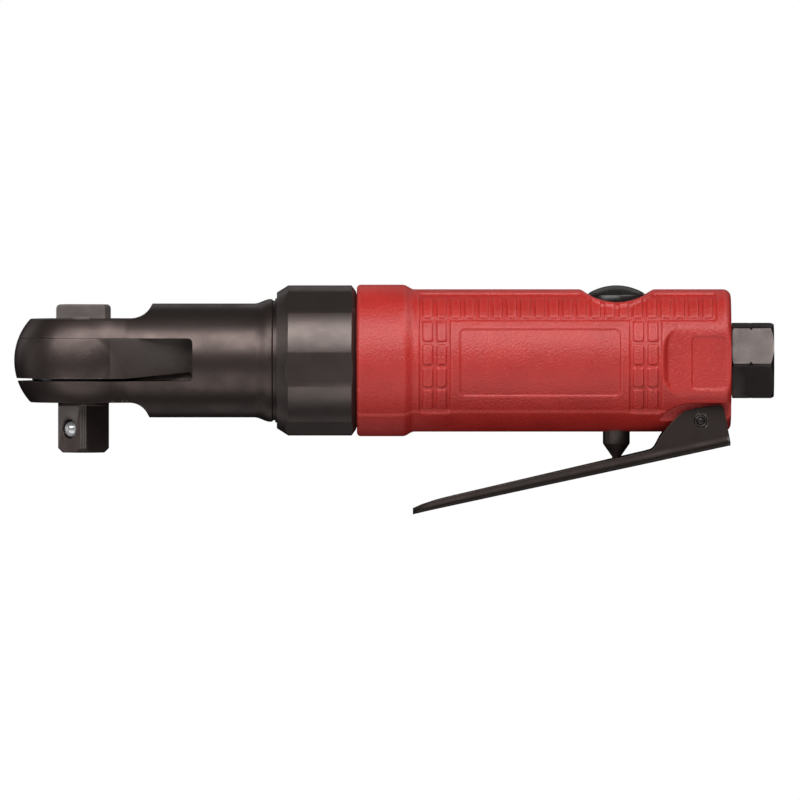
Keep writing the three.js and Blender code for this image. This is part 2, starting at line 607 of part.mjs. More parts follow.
function bearing(name, from) {
  const { bore, outer, width, pitch, ball, balls, land } = BEARING;
  const middle = from + width / 2;
  const to = from + width;
  const groove = (edge, sign) => {
    const floor = pitch + sign * (ball + 0.12);
    return [[-0.8, edge], [-0.35, floor], [0.35, floor], [0.8, edge]].map(([t, r]) => [middle + t * ball, r]);
  };
  const inside = pitch - land;
  const outside = pitch + land;
  piece(`${name}_inner`, turned("x", [
    [from, bore + FIT], [from, inside], ...groove(inside, -1),
    [to, inside], [to, bore + FIT], [from, bore + FIT],
  ], ROTOR.sides), BRIGHT_STEEL);
  piece(`${name}_outer`, turned("x", [
    [from, outside], [from, outer], [to, outer],
    [to, outside], ...groove(outside, 1).reverse(), [from, outside],
  ], ROTOR.sides), BRIGHT_STEEL);
  const cage = tube("x", middle - 0.7, middle + 0.7, pitch + 0.25, pitch - 0.25, 12);
  const all = Array.from({ length: balls }, (_, i) => {
    const angle = (2 * PI * i) / balls;
    return new THREE.SphereGeometry(ball, 6, 5).translate(middle, pitch * cos(angle), pitch * sin(angle));
  });
  piece(`${name}_balls`, join(cage, ...all), BRIGHT_STEEL);
}

const dowel = (room) =>
  rod("x", DOWEL.from - room, DOWEL.to + room, DOWEL.radius + room, 12).translate(0, 0, DOWEL.at);

function endPlate({ from, to, bearingFrom }) {
  return cut(
    rod("x", from, to, PLATE.radius),
    rod("x", from - OVER, to + OVER, PLATE.hole, FINE),
    rod("x", bearingFrom - 0.1, bearingFrom + BEARING.width + 0.1, BEARING.outer + FIT, ROTOR.sides),
    dowel(FIT),
  );
}

// Open the bearing pocket to the outer side of the plate.
function openPlate(plate, from, to) {
  return cut(endPlate(plate), rod("x", from, to, BEARING.outer + FIT, ROTOR.sides));
}

function cylinder() {
  const ports = Array.from({ length: EXHAUST_PORT.count }, (_, i) => {
    const x = (CYLINDER.from + CYLINDER.to) / 2 + (i - (EXHAUST_PORT.count - 1) / 2) * EXHAUST_PORT.pitch;
    return box([x - EXHAUST_PORT.length / 2, CYLINDER.bore / 2, -EXHAUST_PORT.height / 2],
      [x + EXHAUST_PORT.length / 2, PLATE.radius + OVER, EXHAUST_PORT.height / 2]);
  });
  return cut(
    rod("x", CYLINDER.from, CYLINDER.to, PLATE.radius),
    rod("x", CYLINDER.from - OVER, CYLINDER.to + OVER, CYLINDER.bore).translate(0, 0, -CYLINDER.offset),
    dowel(FIT),
    ...ports,
  );
}

const bladeAngles = Array.from({ length: BLADE.count }, (_, i) => (2 * PI * i) / BLADE.count);

function rotor() {
  const shaft = turned("x", [
    [GEAR_FACE.to - 0.2, 0], [GEAR_FACE.to - 0.2, ROTOR.neck], [FRONT_PLATE.from, ROTOR.neck],
    [FRONT_PLATE.from, BEARING.bore], [ROTOR.from, BEARING.bore], [ROTOR.from, ROTOR.radius],
    [ROTOR.to, ROTOR.radius], [ROTOR.to, BEARING.bore], [ROTOR.end, BEARING.bore], [ROTOR.end, 0],
  ], ROTOR.sides);
  const slots = bladeAngles.map((angle) => box(
    [ROTOR.from - OVER, ROTOR.slotFloor, -ROTOR.slot / 2],
    [ROTOR.to + OVER, ROTOR.radius + OVER, ROTOR.slot / 2],
  ).rotateX(angle));
  return cut(join(shaft, gearSolid(GEAR.sun, 0)), ...slots);
}

const frontPlate = openPlate(FRONT_PLATE, FRONT_PLATE.from - OVER, FRONT_PLATE.bearingFrom);
piece("front_end_plate", frontPlate, GROUND_STEEL);
piece("rear_end_plate", openPlate(REAR_PLATE, REAR_PLATE.to - OVER, REAR_PLATE.to + OVER), GROUND_STEEL);
bearing("front_bearing", FRONT_PLATE.bearingFrom);
bearing("rear_bearing", REAR_PLATE.bearingFrom);
piece("cylinder", cylinder(), GROUND_STEEL);
piece("cylinder_pin", dowel(0), BRIGHT_STEEL);
piece("rotor", rotor(), GROUND_STEEL);
bladeAngles.forEach((angle, i) => {
  piece(`rotor_blade_${i + 1}`, box(
    [ROTOR.from + BLADE.endGap, BLADE.inner, -BLADE.thickness / 2],
    [ROTOR.to - BLADE.endGap, BLADE.outer, BLADE.thickness / 2],
  ).rotateX(angle), PHENOLIC);
});

// ------------------------------------------------------------ motor housing

// Outer profile: threaded nose, collar, S-shaped step, straight handle.
function housingProfile() {
  const { from, collar, collarTo, radius, at, back } = HANDLE;
  const { front, back: rear } = HANDLE_EDGES;
  const step = Array.from({ length: 4 }, (_, i) => {
    const t = (i + 0.5) / 4;
    return [collarTo + (at - collarTo) * t, collar + ((radius - collar) * (1 - cos(PI * t))) / 2];
  });
  return [
    [NOSE.from, 0], [NOSE.from, NOSE.outer], [from, NOSE.outer],
    ...arc(from + front, collar - front, front, 180, 90, 2), [collarTo, collar], ...step, [at, radius],
    ...arc(back - rear, radius - rear, rear, 90, 0, 3), [back, 0],
  ];
}

function sideFlatTools() {
  const { at, from, half, corner } = SIDE_FLAT;
  const far = HANDLE.back + OVER;
  const shape = outline([
    [far, -half], ...arc(from + corner, corner - half, corner, 270, 180, 4),
    ...arc(from + corner, half - corner, corner, 180, 90, 4), [far, half],
  ]);
  return bothSides(shape, at, HANDLE.radius + OVER);
}

// Where the lever's ears lie against the housing. The front end coves down.
function earPocketTools() {
  const { inside, roof } = EAR_POCKET;
  const far = HANDLE.back + OVER;
  const low = -HANDLE.radius - OVER;
  const shape = outline([
    [far, low], [134.6, low], [135.3, -16.6], [137, -14.2],
    [139.4, -11.9], [141.9, -10.5], [144.6, roof], [far, roof],
  ]);
  return bothSides(shape, inside, HANDLE.radius + OVER);
}

function motorHousing() {
  const { at, chamber, seatFloor, lower, lowerFloor, guide } = VALVE;
  const stack = turned("z", [
    [-HANDLE.radius - OVER, 0], [-HANDLE.radius - OVER, guide],
    [PLUNGER_SEAL.at - 0.6, guide], [PLUNGER_SEAL.at - 0.6, 4.4], [PLUNGER_SEAL.at + 0.6, 4.4],
    [PLUNGER_SEAL.at + 0.6, guide], [lowerFloor, guide], [lowerFloor, lower], [seatFloor, lower],
    [seatFloor, chamber], [KNOB.floor, chamber],
    [KNOB.floor, KNOB.recess], [HANDLE.radius + OVER, KNOB.recess],
    [HANDLE.radius + OVER, 0],
  ], 20).translate(at, 0, 0);
  const motorSpace = turned("x", [
    [NOSE.from - OVER, 0], [NOSE.from - OVER, NOSE.inner], [CUP.end + 0.2, NOSE.inner],
    [CUP.end + 0.2, MOTOR_BORE.radius], [MOTOR_BORE.to, MOTOR_BORE.radius],
    [MOTOR_BORE.to, MOTOR_BORE.manifold],
    [MOTOR_BORE.manifoldTo, MOTOR_BORE.manifold], [MOTOR_BORE.manifoldTo, 0],
  ]);
  const inletSpace = turned("x", [
    [at, 0], [at, INLET_BORE.passage],
    [INLET_BORE.from, INLET_BORE.passage], [INLET_BORE.from, INLET_BORE.radius],
    [HANDLE.back + OVER, INLET_BORE.radius], [HANDLE.back + OVER, 0],
  ], 24);
  const exhaustWays = [-1, 1].map((side) => rod("x", MOTOR_BORE.manifoldTo - OVER, MUFFLER.from + OVER,
    EXHAUST_WAY.radius, 8).translate(0, side * EXHAUST_WAY.at, 0));
  return cut(
    turned("x", housingProfile()),
    motorSpace,
    stack,
    inletSpace,
    rod("x", MOTOR_BORE.manifoldTo - OVER, at, MOTOR_WAY.radius, 10).translate(0, 0, MOTOR_WAY.height),
    ...exhaustWays,
    tube("x", MUFFLER.from, HANDLE.back + OVER, MUFFLER.outer, MUFFLER.inner, 24),
    crossRod(VALVE.at, SCOOP.floor + SCOOP.radius, -SCOOP.edge, SCOOP.edge, SCOOP.radius, SIDES),
    ...sideFlatTools(),
    ...earPocketTools(),
    crossRod(LEVER_PIN.x, LEVER_PIN.height, -SCOOP.edge, SCOOP.edge, LEVER_PIN.radius + FIT, 16),
  );
}

piece("motor_housing", motorHousing(), RED_PAINT);

// ----------------------------------------------------------- throttle valve

const valve = subgroup(VALVE.at, 0, 0);

function regulatorKnob() {
  const domeCentre = KNOB.top - KNOB.dome;
  const rimAngle = (acos(KNOB.radius / KNOB.dome) * 180) / PI;
  const dome = arc(domeCentre, 0, KNOB.dome, 0, 90 - rimAngle, 4).reverse();
  const knob = turned("z", [
    [KNOB_STEM.low, KNOB_STEM.hollow], [KNOB_STEM.low, KNOB_STEM.radius],
    [KNOB_SEAL.at - 0.6, KNOB_STEM.radius], [KNOB_SEAL.at - 0.6, 4.85], [KNOB_SEAL.at + 0.6, 4.85],
    [KNOB_SEAL.at + 0.6, KNOB_STEM.radius], [KNOB.low, KNOB_STEM.radius], [KNOB.low, KNOB.radius],
    ...dome, [KNOB_STEM.hollowTop, 0],
    [KNOB_STEM.hollowTop, KNOB_STEM.hollow], [KNOB_STEM.low, KNOB_STEM.hollow],
  ], 24);
  const wide = KNOB.radius + OVER;
  return cut(knob, box([-wide, -KNOB_STEM.slot / 2, KNOB.top - KNOB_STEM.slotDepth],
    [wide, KNOB_STEM.slot / 2, KNOB.top + OVER]));
}

piece("throttle_plunger", turned("z", [
  [PLUNGER.tip, 0], [PLUNGER.tip + 0.25, PLUNGER.tipRadius * 0.7], [PLUNGER.tip + 0.8, PLUNGER.tipRadius],
  [PLUNGER.coneTop, PLUNGER.radius], [PLUNGER.shoulder, PLUNGER.radius], [PLUNGER.shoulder, PLUNGER.stem],
  [PLUNGER.top, PLUNGER.stem], [PLUNGER.top, 0],
], 20), BLACK_STEEL, valve);
piece("plunger_o_ring", ring("z", PLUNGER_SEAL.at, PLUNGER_SEAL.ring, PLUNGER_SEAL.wire), RUBBER, valve);
piece("valve_seat", tube("z", SEAT.low, SEAT.high, SEAT.outer, SEAT.hole, FINE), BRONZE, valve);
piece("throttle_valve", turned("z", [
  [POPPET.low, 0], [POPPET.low, POPPET.radius - 0.8], [POPPET.low + 0.8, POPPET.radius],
  [POPPET.high, POPPET.radius], [POPPET.high, POPPET.boss], [POPPET.top, POPPET.boss], [POPPET.top, 0],
], FINE), BLACK_PLASTIC, valve);
piece("valve_spring", spring(VALVE_SPRING.radius, VALVE_SPRING.wire, VALVE_SPRING.low, VALVE_SPRING.high,
  VALVE_SPRING.turns), GROUND_STEEL, valve);
piece("regulator_knob", regulatorKnob(), BLACK_PLASTIC, valve);
piece("regulator_o_ring", ring("z", KNOB_SEAL.at, KNOB_SEAL.ring, KNOB_SEAL.wire), RUBBER, valve);

// ----------------------------------------------------------- throttle lever

// Side view of the whole stamping, from the pin. The underside is one straight
// line that bends down a little at the tip.
function leverSide() {
  const under = (x) => LEVER.underZ + (x - LEVER.underX) * tan(radians(LEVER.slope));
  return outline([
    [6.6, under(6.6) + 0.15], [7.1, -5.4], [6.8, -2.9], [5.3, 3.5], [4.9, 3.85], [1, 3.5],
    [-1.1, 2.9], [-3.7, 2.2], [-9.6, -3.9], [-10.4, -5.6], [-11.2, under(-11.2) + 2.95],
    [-60, under(-60) + 2.3], [-66.5, under(-66.5) + 1.6], [LEVER_TIP, under(LEVER_TIP) + 0.6],
    [LEVER_TIP, under(LEVER_TIP) - 0.3], [-66.5, under(-66.5) - 0.25], [-64, under(-64)],
  ]);
}

// All that lies above the web's upper face.
function leverInside() {
  const rise = LEVER.sheet / cos(radians(LEVER.slope));
  const upper = (x) => LEVER.underZ + (x - LEVER.underX) * tan(radians(LEVER.slope)) + rise;
  return outline([[9, upper(9)], [9, 9], [LEVER_TIP - OVER, 9], [LEVER_TIP - OVER, upper(LEVER_TIP - OVER)]]);
}

// Plan view, narrowing to the tip, and the same drawn in by the sheet.
function leverPlan(inset) {
  const { rear, tip, taperFrom } = LEVER_PLAN;
  const wide = rear - inset;
  const narrow = tip - inset;
  const end = LEVER_TIP + inset;
  const back = 9;
  return outline([
    [back, -wide], [back, wide], [taperFrom, wide], [end + 3, narrow],
    ...arc(end + narrow * 0.55, 0, narrow, 150, 210, 4).map(([x, y]) => [Math.max(x, end), y]),
    [end + 3, -narrow], [taperFrom, -wide],
  ]);
}

function throttleLever() {
  const wide = LEVER_PLAN.rear + OVER;
  const stamping = overlap(across(leverSide(), -wide, wide), standing(leverPlan(0), -30, 10));
  return cut(
    stamping,
    overlap(across(leverInside(), -wide, wide), standing(leverPlan(LEVER.sheet), -30, 10)),
    crossRod(0, 0, -wide, wide, LEVER.hole, 20),
  );
}

const leverPivot = subgroup(LEVER_PIN.x, 0, LEVER_PIN.height);
piece("throttle_lever", throttleLever(), BLACK_STEEL, leverPivot);
piece("lever_pin", turned("z", [
  [-LEVER_PIN.half, 0], [-LEVER_PIN.half, LEVER_PIN.radius - LEVER_PIN.chamfer],
  [LEVER_PIN.chamfer - LEVER_PIN.half, LEVER_PIN.radius],
  [LEVER_PIN.half - LEVER_PIN.chamfer, LEVER_PIN.radius],
  [LEVER_PIN.half, LEVER_PIN.radius - LEVER_PIN.chamfer], [LEVER_PIN.half, 0],
], 16).rotateX(PI / 2), GROUND_STEEL, leverPivot);

// ------------------------------------------------------------------ inlet

function inletBushing() {
  const corner = INLET.flats / 2 / cos(PI / 6);
  const hex = overlap(
    alongX(polygon(INLET.flats, 6, -INLET.turn), INLET.from, INLET.to),
    turned("x", [
      [INLET.from, 0], [INLET.from, corner], [INLET.notchAt - INLET.notch, corner],
      [INLET.notchAt, corner - INLET.notch], [INLET.notchAt + INLET.notch, corner],
      [INLET.to - INLET.chamfer, corner], [INLET.to, corner - 1.6 * INLET.chamfer], [INLET.to, 0],
    ], 36),
  );
  const { radius, from, bore } = INLET_SPIGOT;
  const spigot = turned("x", [
    [from, 0], [from, radius], [INLET_SEAL.at - 0.6, radius], [INLET_SEAL.at - 0.6, radius - 1.05],
    [INLET_SEAL.at + 0.6, radius - 1.05], [INLET_SEAL.at + 0.6, radius], [INLET.from + 0.5, radius],
    [INLET.from + 0.5, 0],
  ], 24);
  return cut(
    join(hex, spigot),
    rod("x", from - OVER, INLET.to + OVER, bore, 24),
    turned("x", [
      [INLET.to - 1, 0], [INLET.to - 1, bore - 0.1],
      [INLET.to + 0.2, bore + 1.1], [INLET.to + 0.2, 0],
    ], 24),
  );
}

function inletScreen() {
  const holes = Array.from({ length: 6 }, (_, i) => {
    const angle = (PI * i) / 3;
    return rod("x", SCREEN.from - OVER, SCREEN.to + OVER, SCREEN.hole, 8)
      .translate(0, SCREEN.pitch * cos(angle), SCREEN.pitch * sin(angle));
  });
  return cut(rod("x", SCREEN.from, SCREEN.to, SCREEN.radius, FINE), ...holes,
    rod("x", SCREEN.from - OVER, SCREEN.to + OVER, SCREEN.hole, 8));
}

function exhaustDeflector() {
  const slots = Array.from({ length: DEFLECTOR.slots }, (_, i) => box(
    [DEFLECTOR.to - 2, 0, -DEFLECTOR.slot / 2],
    [DEFLECTOR.to + OVER, MUFFLER.outer + OVER, DEFLECTOR.slot / 2],
  ).rotateX((2 * PI * i) / DEFLECTOR.slots));
  return cut(tube("x", DEFLECTOR.from, DEFLECTOR.to, MUFFLER.outer - RUN, MUFFLER.inner + RUN, 24), ...slots);
}

piece("inlet_bushing", inletBushing(), BLACK_STEEL);
piece("inlet_o_ring", ring("x", INLET_SEAL.at, INLET_SEAL.ring, INLET_SEAL.wire), RUBBER);
piece("inlet_screen", inletScreen(), BRONZE);
const silencer = tube("x", SILENCER.from, SILENCER.to, MUFFLER.outer - RUN, MUFFLER.inner + RUN, 24);
piece("exhaust_silencer", silencer, FELT);
piece("exhaust_deflector", exhaustDeflector(), ALUMINIUM);

export default tool;
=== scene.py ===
import json
import math

import bmesh
import bpy
import numpy as np
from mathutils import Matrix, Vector

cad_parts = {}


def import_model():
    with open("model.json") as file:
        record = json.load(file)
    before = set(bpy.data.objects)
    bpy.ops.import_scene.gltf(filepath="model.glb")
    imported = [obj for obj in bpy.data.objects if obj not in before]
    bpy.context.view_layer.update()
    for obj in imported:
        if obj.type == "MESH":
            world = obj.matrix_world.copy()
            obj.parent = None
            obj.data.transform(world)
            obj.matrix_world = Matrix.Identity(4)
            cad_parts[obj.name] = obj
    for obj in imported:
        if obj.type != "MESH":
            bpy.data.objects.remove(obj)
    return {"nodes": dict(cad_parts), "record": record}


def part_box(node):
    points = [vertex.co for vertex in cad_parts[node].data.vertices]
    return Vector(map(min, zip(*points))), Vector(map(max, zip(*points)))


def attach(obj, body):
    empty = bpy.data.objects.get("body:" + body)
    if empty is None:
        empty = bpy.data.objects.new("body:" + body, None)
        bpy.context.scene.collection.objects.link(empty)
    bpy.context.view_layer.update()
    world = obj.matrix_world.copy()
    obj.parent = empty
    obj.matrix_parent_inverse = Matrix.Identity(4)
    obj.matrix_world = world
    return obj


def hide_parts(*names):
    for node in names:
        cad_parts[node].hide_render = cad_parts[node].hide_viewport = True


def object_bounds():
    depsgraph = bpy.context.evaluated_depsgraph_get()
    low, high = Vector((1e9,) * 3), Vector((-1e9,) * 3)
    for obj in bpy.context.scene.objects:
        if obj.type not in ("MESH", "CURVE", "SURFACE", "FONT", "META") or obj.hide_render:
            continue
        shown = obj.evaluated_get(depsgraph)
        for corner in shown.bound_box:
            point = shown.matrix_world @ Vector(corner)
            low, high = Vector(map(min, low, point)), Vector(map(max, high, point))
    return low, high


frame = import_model()
CAD_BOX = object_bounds()
MM = 0.001


def span(node):
    """Lowest and highest corner of a CAD node, in millimetres in the body's frame."""
    low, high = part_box(node)
    return ([low[0] / MM, low[1] / MM, low[2] / MM - AXIS], [high[0] / MM, high[1] / MM, high[2] / MM - AXIS])


AXIS = (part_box("cylinder")[0][2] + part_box("cylinder")[1][2]) / 2 / MM
OVER = 1.0  # how far a cutting shape runs past the face it opens
FAR = 99.0  # farther than anything on the tool

# ------------------------------------------------------------------ solids


def new_mesh(vertices, faces):
    mesh = bpy.data.meshes.new("shape")
    mesh.from_pydata([tuple(v) for v in vertices], [], faces)
    tidy = bmesh.new()
    tidy.from_mesh(mesh)
    bmesh.ops.remove_doubles(tidy, verts=tidy.verts, dist=1e-5)
    bmesh.ops.recalc_face_normals(tidy, faces=tidy.faces)
    tidy.to_mesh(mesh)
    tidy.free()
    return mesh


def turned(axis, profile, sides=128):
    """Turned about the x or z axis from (along, radius) points, from axis to axis or closed on itself."""
    closed = profile[0] == profile[-1]
    points = profile[:-1] if closed else profile
    vertices = []
    for along, radius in points:
        for i in range(sides):
            angle = 2 * math.pi * i / sides
            a, b = radius * math.sin(angle), radius * math.cos(angle)
            vertices.append((along, a, b) if axis == "x" else (b, a, along))
    rows = len(points)
    faces = []
    for row in range(rows if closed else rows - 1):
        after = (row + 1) % rows
        for i in range(sides):
            j = (i + 1) % sides
            corners = [row * sides + i, row * sides + j, after * sides + j, after * sides + i]
            if points[row][1] == 0:
                corners = [corners[0], corners[2], corners[3]]
            elif points[after][1] == 0:
                corners = corners[:3]
            faces.append(corners)
    return new_mesh(vertices, faces)


def rod(axis, low, high, radius, sides=96):
    return turned(axis, [(low, 0), (low, radius), (high, radius), (high, 0)], sides)


def tube(axis, low, high, outer, inner, sides=96):
    return turned(axis, [(low, inner), (low, outer), (high, outer), (high, inner), (low, inner)], sides)


def prism(axis, outline, low, high):
    """An outline pushed along z (its points are x, y), along y (x, z) or along x (y, z)."""
    place = {
        "z": lambda a, b, d: (a, b, d),
        "y": lambda a, b, d: (a, d, b),
        "x": lambda a, b, d: (d, a, b),
    }[axis]
    count = len(outline)
    vertices = [place(a, b, low) for a, b in outline] + [place(a, b, high) for a, b in outline]
    faces = [[i, (i + 1) % count, count + (i + 1) % count, count + i] for i in range(count)]
    faces += [list(range(count)), list(range(2 * count - 1, count - 1, -1))]
    return new_mesh(vertices, faces)


def box(low, high):
    (x0, y0, z0), (x1, y1, z1) = low, high
    return prism("z", [(x0, y0), (x1, y0), (x1, y1), (x0, y1)], z0, z1)


def arc(x, y, radius, start, end, steps):
    """Points of an arc, in degrees."""
    angles = [math.radians(start + (end - start) * i / steps) for i in range(steps + 1)]
    return [(x + radius * math.cos(a), y + radius * math.sin(a)) for a in angles]


def polygon(across_flats, count, turn):
    return arc(0, 0, across_flats / 2 / math.cos(math.pi / count), turn, turn + 360, count)[:count]


def moved(mesh, x=0, y=0, z=0):
    for vertex in mesh.vertices:
        vertex.co += Vector((x, y, z))
    return mesh


def spun(mesh, axis, degrees):
    angle = math.radians(degrees)
    a, b = {"x": (1, 2), "y": (2, 0), "z": (0, 1)}[axis]
    for vertex in mesh.vertices:
        first, second = vertex.co[a], vertex.co[b]
        vertex.co[a] = first * math.cos(angle) - second * math.sin(angle)
        vertex.co[b] = first * math.sin(angle) + second * math.cos(angle)
    return mesh


def combined(operation, base, tools):
    """Boolean of meshes, one tool after another."""
    body = bpy.data.objects.new("body", base)
    bpy.context.collection.objects.link(body)
    helpers = [body]
    for mesh in tools:
        helper = bpy.data.objects.new("helper", mesh)
        bpy.context.collection.objects.link(helper)
        helpers.append(helper)
        modifier = body.modifiers.new("boolean", "BOOLEAN")
        modifier.operation = operation
        modifier.solver = "MANIFOLD"
        modifier.object = helper
    graph = bpy.context.evaluated_depsgraph_get()
    result = bpy.data.meshes.new_from_object(body.evaluated_get(graph))
    for helper in helpers:
        bpy.data.objects.remove(helper)
    return result


def cut(base, *tools):
    return combined("DIFFERENCE", base, tools)


def join(base, *others):
    return combined("UNION", base, others)


def overlap(base, *others):
    return combined("INTERSECT", base, others)


# ------------------------------------------------------------------- pieces


def piece(name, mesh, body, nodes, material, sharp=28, edges=0.0):
    """A mesh in body millimetres becomes a piece that rides on a body and stands for CAD nodes."""
    for vertex in mesh.vertices:
        vertex.co = (vertex.co[0] * MM, vertex.co[1] * MM, (vertex.co[2] + AXIS) * MM)
    mesh.name = name
    mesh.materials.clear()
    mesh.materials.append(material)
    obj = bpy.data.objects.new(name, mesh)
    bpy.context.collection.objects.link(obj)
    if edges:
        bevel = obj.modifiers.new("edges", "BEVEL")
        bevel.width = edges * MM
        bevel.segments = 3
        bevel.limit_method = "ANGLE"
        bevel.angle_limit = math.radians(35)
    mesh.polygons.foreach_set("use_smooth", [True] * len(mesh.polygons))
    mesh.set_sharp_from_angle(angle=math.radians(sharp))
    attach(obj, body)
    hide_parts(*nodes)
    return obj


# ---------------------------------------------------------------- materials


class Nodes:
    """A material's node tree, with the few calls that the finishes need."""

    def __init__(self, name):
        self.material = bpy.data.materials.new(name)
        self.material.use_nodes = True
        self.tree = self.material.node_tree
        self.shader = self.tree.nodes["Principled BSDF"]
        self.place = self.add("ShaderNodeTexCoord").outputs["Object"]

    def add(self, kind, inputs=None, **settings):
        node = self.tree.nodes.new(kind)
        for key, value in settings.items():
            setattr(node, key, value)
        for key, value in (inputs or {}).items():
            self.put(node.inputs[key], value)
        return node

    def put(self, socket, value):
        if isinstance(value, bpy.types.NodeSocket):
            self.tree.links.new(value, socket)
        else:
            socket.default_value = value

    def noise(self, size, detail=3.0, stretch=(1, 1, 1)):
        """Noise whose features are about size millimetres across."""
        scaled = self.add("ShaderNodeMapping", {"Vector": self.place, "Scale": tuple(stretch)})
        texture = self.add("ShaderNodeTexNoise", {
            "Vector": scaled.outputs["Vector"], "Scale": 1 / (size * MM), "Detail": detail,
        })
        return texture.outputs["Fac"]

    def ramp(self, factor, low, high, start=0.0, end=1.0):
        node = self.add("ShaderNodeMapRange", {
            "Value": factor, "From Min": low, "From Max": high, "To Min": start, "To Max": end,
        })
        return node.outputs["Result"]

    def mix(self, factor, first, second):
        node = self.add("ShaderNodeMix", data_type="RGBA")
        self.put(node.inputs["Factor"], factor)
        self.put(node.inputs[6], first)
        self.put(node.inputs[7], second)
        return node.outputs[2]

    def bump(self, height, distance, normal=None, strength=1.0):
        node = self.add("ShaderNodeBump", {"Height": height, "Distance": distance * MM, "Strength": strength})
        if normal is not None:
            self.put(node.inputs["Normal"], normal)
        return node.outputs["Normal"]

    def soft_edges(self, radius):
        return self.add("ShaderNodeBevel", {"Radius": radius * MM}, samples=6).outputs["Normal"]

    def set(self, **values):
        for key, value in values.items():
            self.put(self.shader.inputs[key.replace("_", " ")], value)
        return self.material


def rgb(red, green, blue):
    """A display colour from 0 to 255, as the linear colour that the shader reads."""
    display = (red / 255, green / 255, blue / 255)
    linear = [c / 12.92 if c <= 0.04045 else ((c + 0.055) / 1.055) ** 2.4 for c in display]
    return (*linear, 1.0)


def red_paint():
    n = Nodes("red_paint")
    peel = n.noise(0.45, 2.0)
    grain = n.noise(0.25, 2.0)
    blotch = n.noise(9.0, 3.0)
    normal = n.bump(grain, 0.04, n.soft_edges(0.12))
    normal = n.bump(peel, 0.17, normal)
    # Sharp convex edges are lightened toward a pale red: a painted highlight along the edges.
    sharp_edge = n.ramp(n.add("ShaderNodeNewGeometry").outputs["Pointiness"], 0.5, 0.6)
    colour = n.mix(n.ramp(blotch, 0.35, 0.65), rgb(170, 42, 37), rgb(160, 37, 33))
    colour = n.mix(n.ramp(sharp_edge, 0.0, 1.0, 0.0, 0.35), colour, rgb(224, 92, 84))
    return n.set(
        Base_Color=colour, Roughness=n.ramp(grain, 0.3, 0.7, 0.3, 0.42), Normal=normal,
        Specular_IOR_Level=0.5,
    )


def black_steel(name="black_steel", turned_about=None, colour=(86, 75, 72), rough=0.36, depth=0.012,
                metallic=0.85):
    """Black oxide over steel: brown-black, satin, with the marks of its turning."""
    n = Nodes(name)
    stretch = {"x": (14, 1, 1), "z": (1, 1, 14), None: (1, 1, 1)}[turned_about]
    marks = n.noise(1.4 if turned_about else 0.35, 3.0, stretch)
    cloud = n.noise(6.0, 4.0)
    fine = n.noise(0.12, 2.0)
    normal = n.bump(marks, depth, n.soft_edges(0.14))
    normal = n.bump(fine, 0.006, normal)
    # Sharp convex edges are mixed toward grey: partly edge wear down to the steel, partly a painted highlight
    # along the edges.
    sharp_edge = n.ramp(n.add("ShaderNodeNewGeometry").outputs["Pointiness"], 0.53, 0.64)
    base = n.mix(n.ramp(cloud, 0.35, 0.65), rgb(*colour), rgb(*[c * 0.86 for c in colour]))
    base = n.mix(n.ramp(sharp_edge, 0.0, 1.0, 0.0, 0.5), base, rgb(150, 142, 138))
    return n.set(
        Base_Color=base, Metallic=metallic, Normal=normal,
        Roughness=n.ramp(cloud, 0.3, 0.7, rough - 0.05, rough + 0.07),
    )


def steel(name, colour, rough, marks_size=0.3, depth=0.006, metallic=1.0):
    n = Nodes(name)
    marks = n.noise(marks_size, 3.0, (1, 1, 5))
    stain = n.noise(4.0, 3.0)
    base = n.mix(n.ramp(stain, 0.4, 0.65), rgb(*colour), rgb(*[c * 0.85 for c in colour]))
    return n.set(
        Base_Color=base, Metallic=metallic, Normal=n.bump(marks, depth, n.soft_edges(0.08)),
        Roughness=n.ramp(marks, 0.3, 0.7, rough - 0.05, rough + 0.08),
    )


def moulded(name, colour, rough, grain=0.25, depth=0.02):
    n = Nodes(name)
    texture = n.noise(grain, 3.0)
    shade = n.noise(3.0, 2.0)
    base = n.mix(n.ramp(shade, 0.35, 0.65), rgb(*colour), rgb(*[c * 0.8 for c in colour]))
    return n.set(
        Base_Color=base, Normal=n.bump(texture, depth, n.soft_edges(0.12)),
        Roughness=n.ramp(texture, 0.3, 0.7, rough - 0.06, rough + 0.08),
    )


RED = red_paint()
BLACK = black_steel()
BLACK_X = black_steel("black_steel_turned", "x")
BLACK_Z = black_steel("black_steel_faced", "z", depth=0.03)
BLACK_PRESSED = black_steel("black_steel_pressed", None, (80, 70, 67), 0.38)
BLACK_HEX = black_steel("black_steel_hex", None, (77, 70, 68), 0.3)
BLACK_KNOB = black_steel("black_steel_satin", None, (104, 95, 92), 0.5, metallic=0.3)
BLACK_LINED = black_steel("black_steel_lined", "z", rough=0.38, depth=0.03)
SLOT_MATERIALS = {
    "black_steel": BLACK,
    "red_paint": RED,
    "bright_steel": steel("bright_steel", (225, 226, 228), 0.14, 0.4, 0.001, 0.55),
    "ground_steel": steel("ground_steel", (150, 150, 152), 0.34),
    "bronze": steel("bronze", (176, 140, 82), 0.36),
    "rubber": moulded("rubber", (24, 24, 25), 0.7),
    "phenolic": moulded("phenolic", (122, 84, 50), 0.6),
    "black_plastic": moulded("black_plastic", (30, 26, 25), 0.3, 0.3, 0.006),
    "felt": moulded("felt", (186, 180, 165), 0.9, 0.35, 0.2),
    "aluminium": steel("aluminium", (168, 170, 172), 0.42),
}

# The solids that nothing replaces keep their shape and take their slot's finish.
for row in frame["record"]["subparts"]:
    node = frame["nodes"][row["node"]]
    node.data.materials.clear()
    node.data.materials.append(SLOT_MATERIALS[row["material_slot"]])

# ------------------------------------------------------------- motor housing

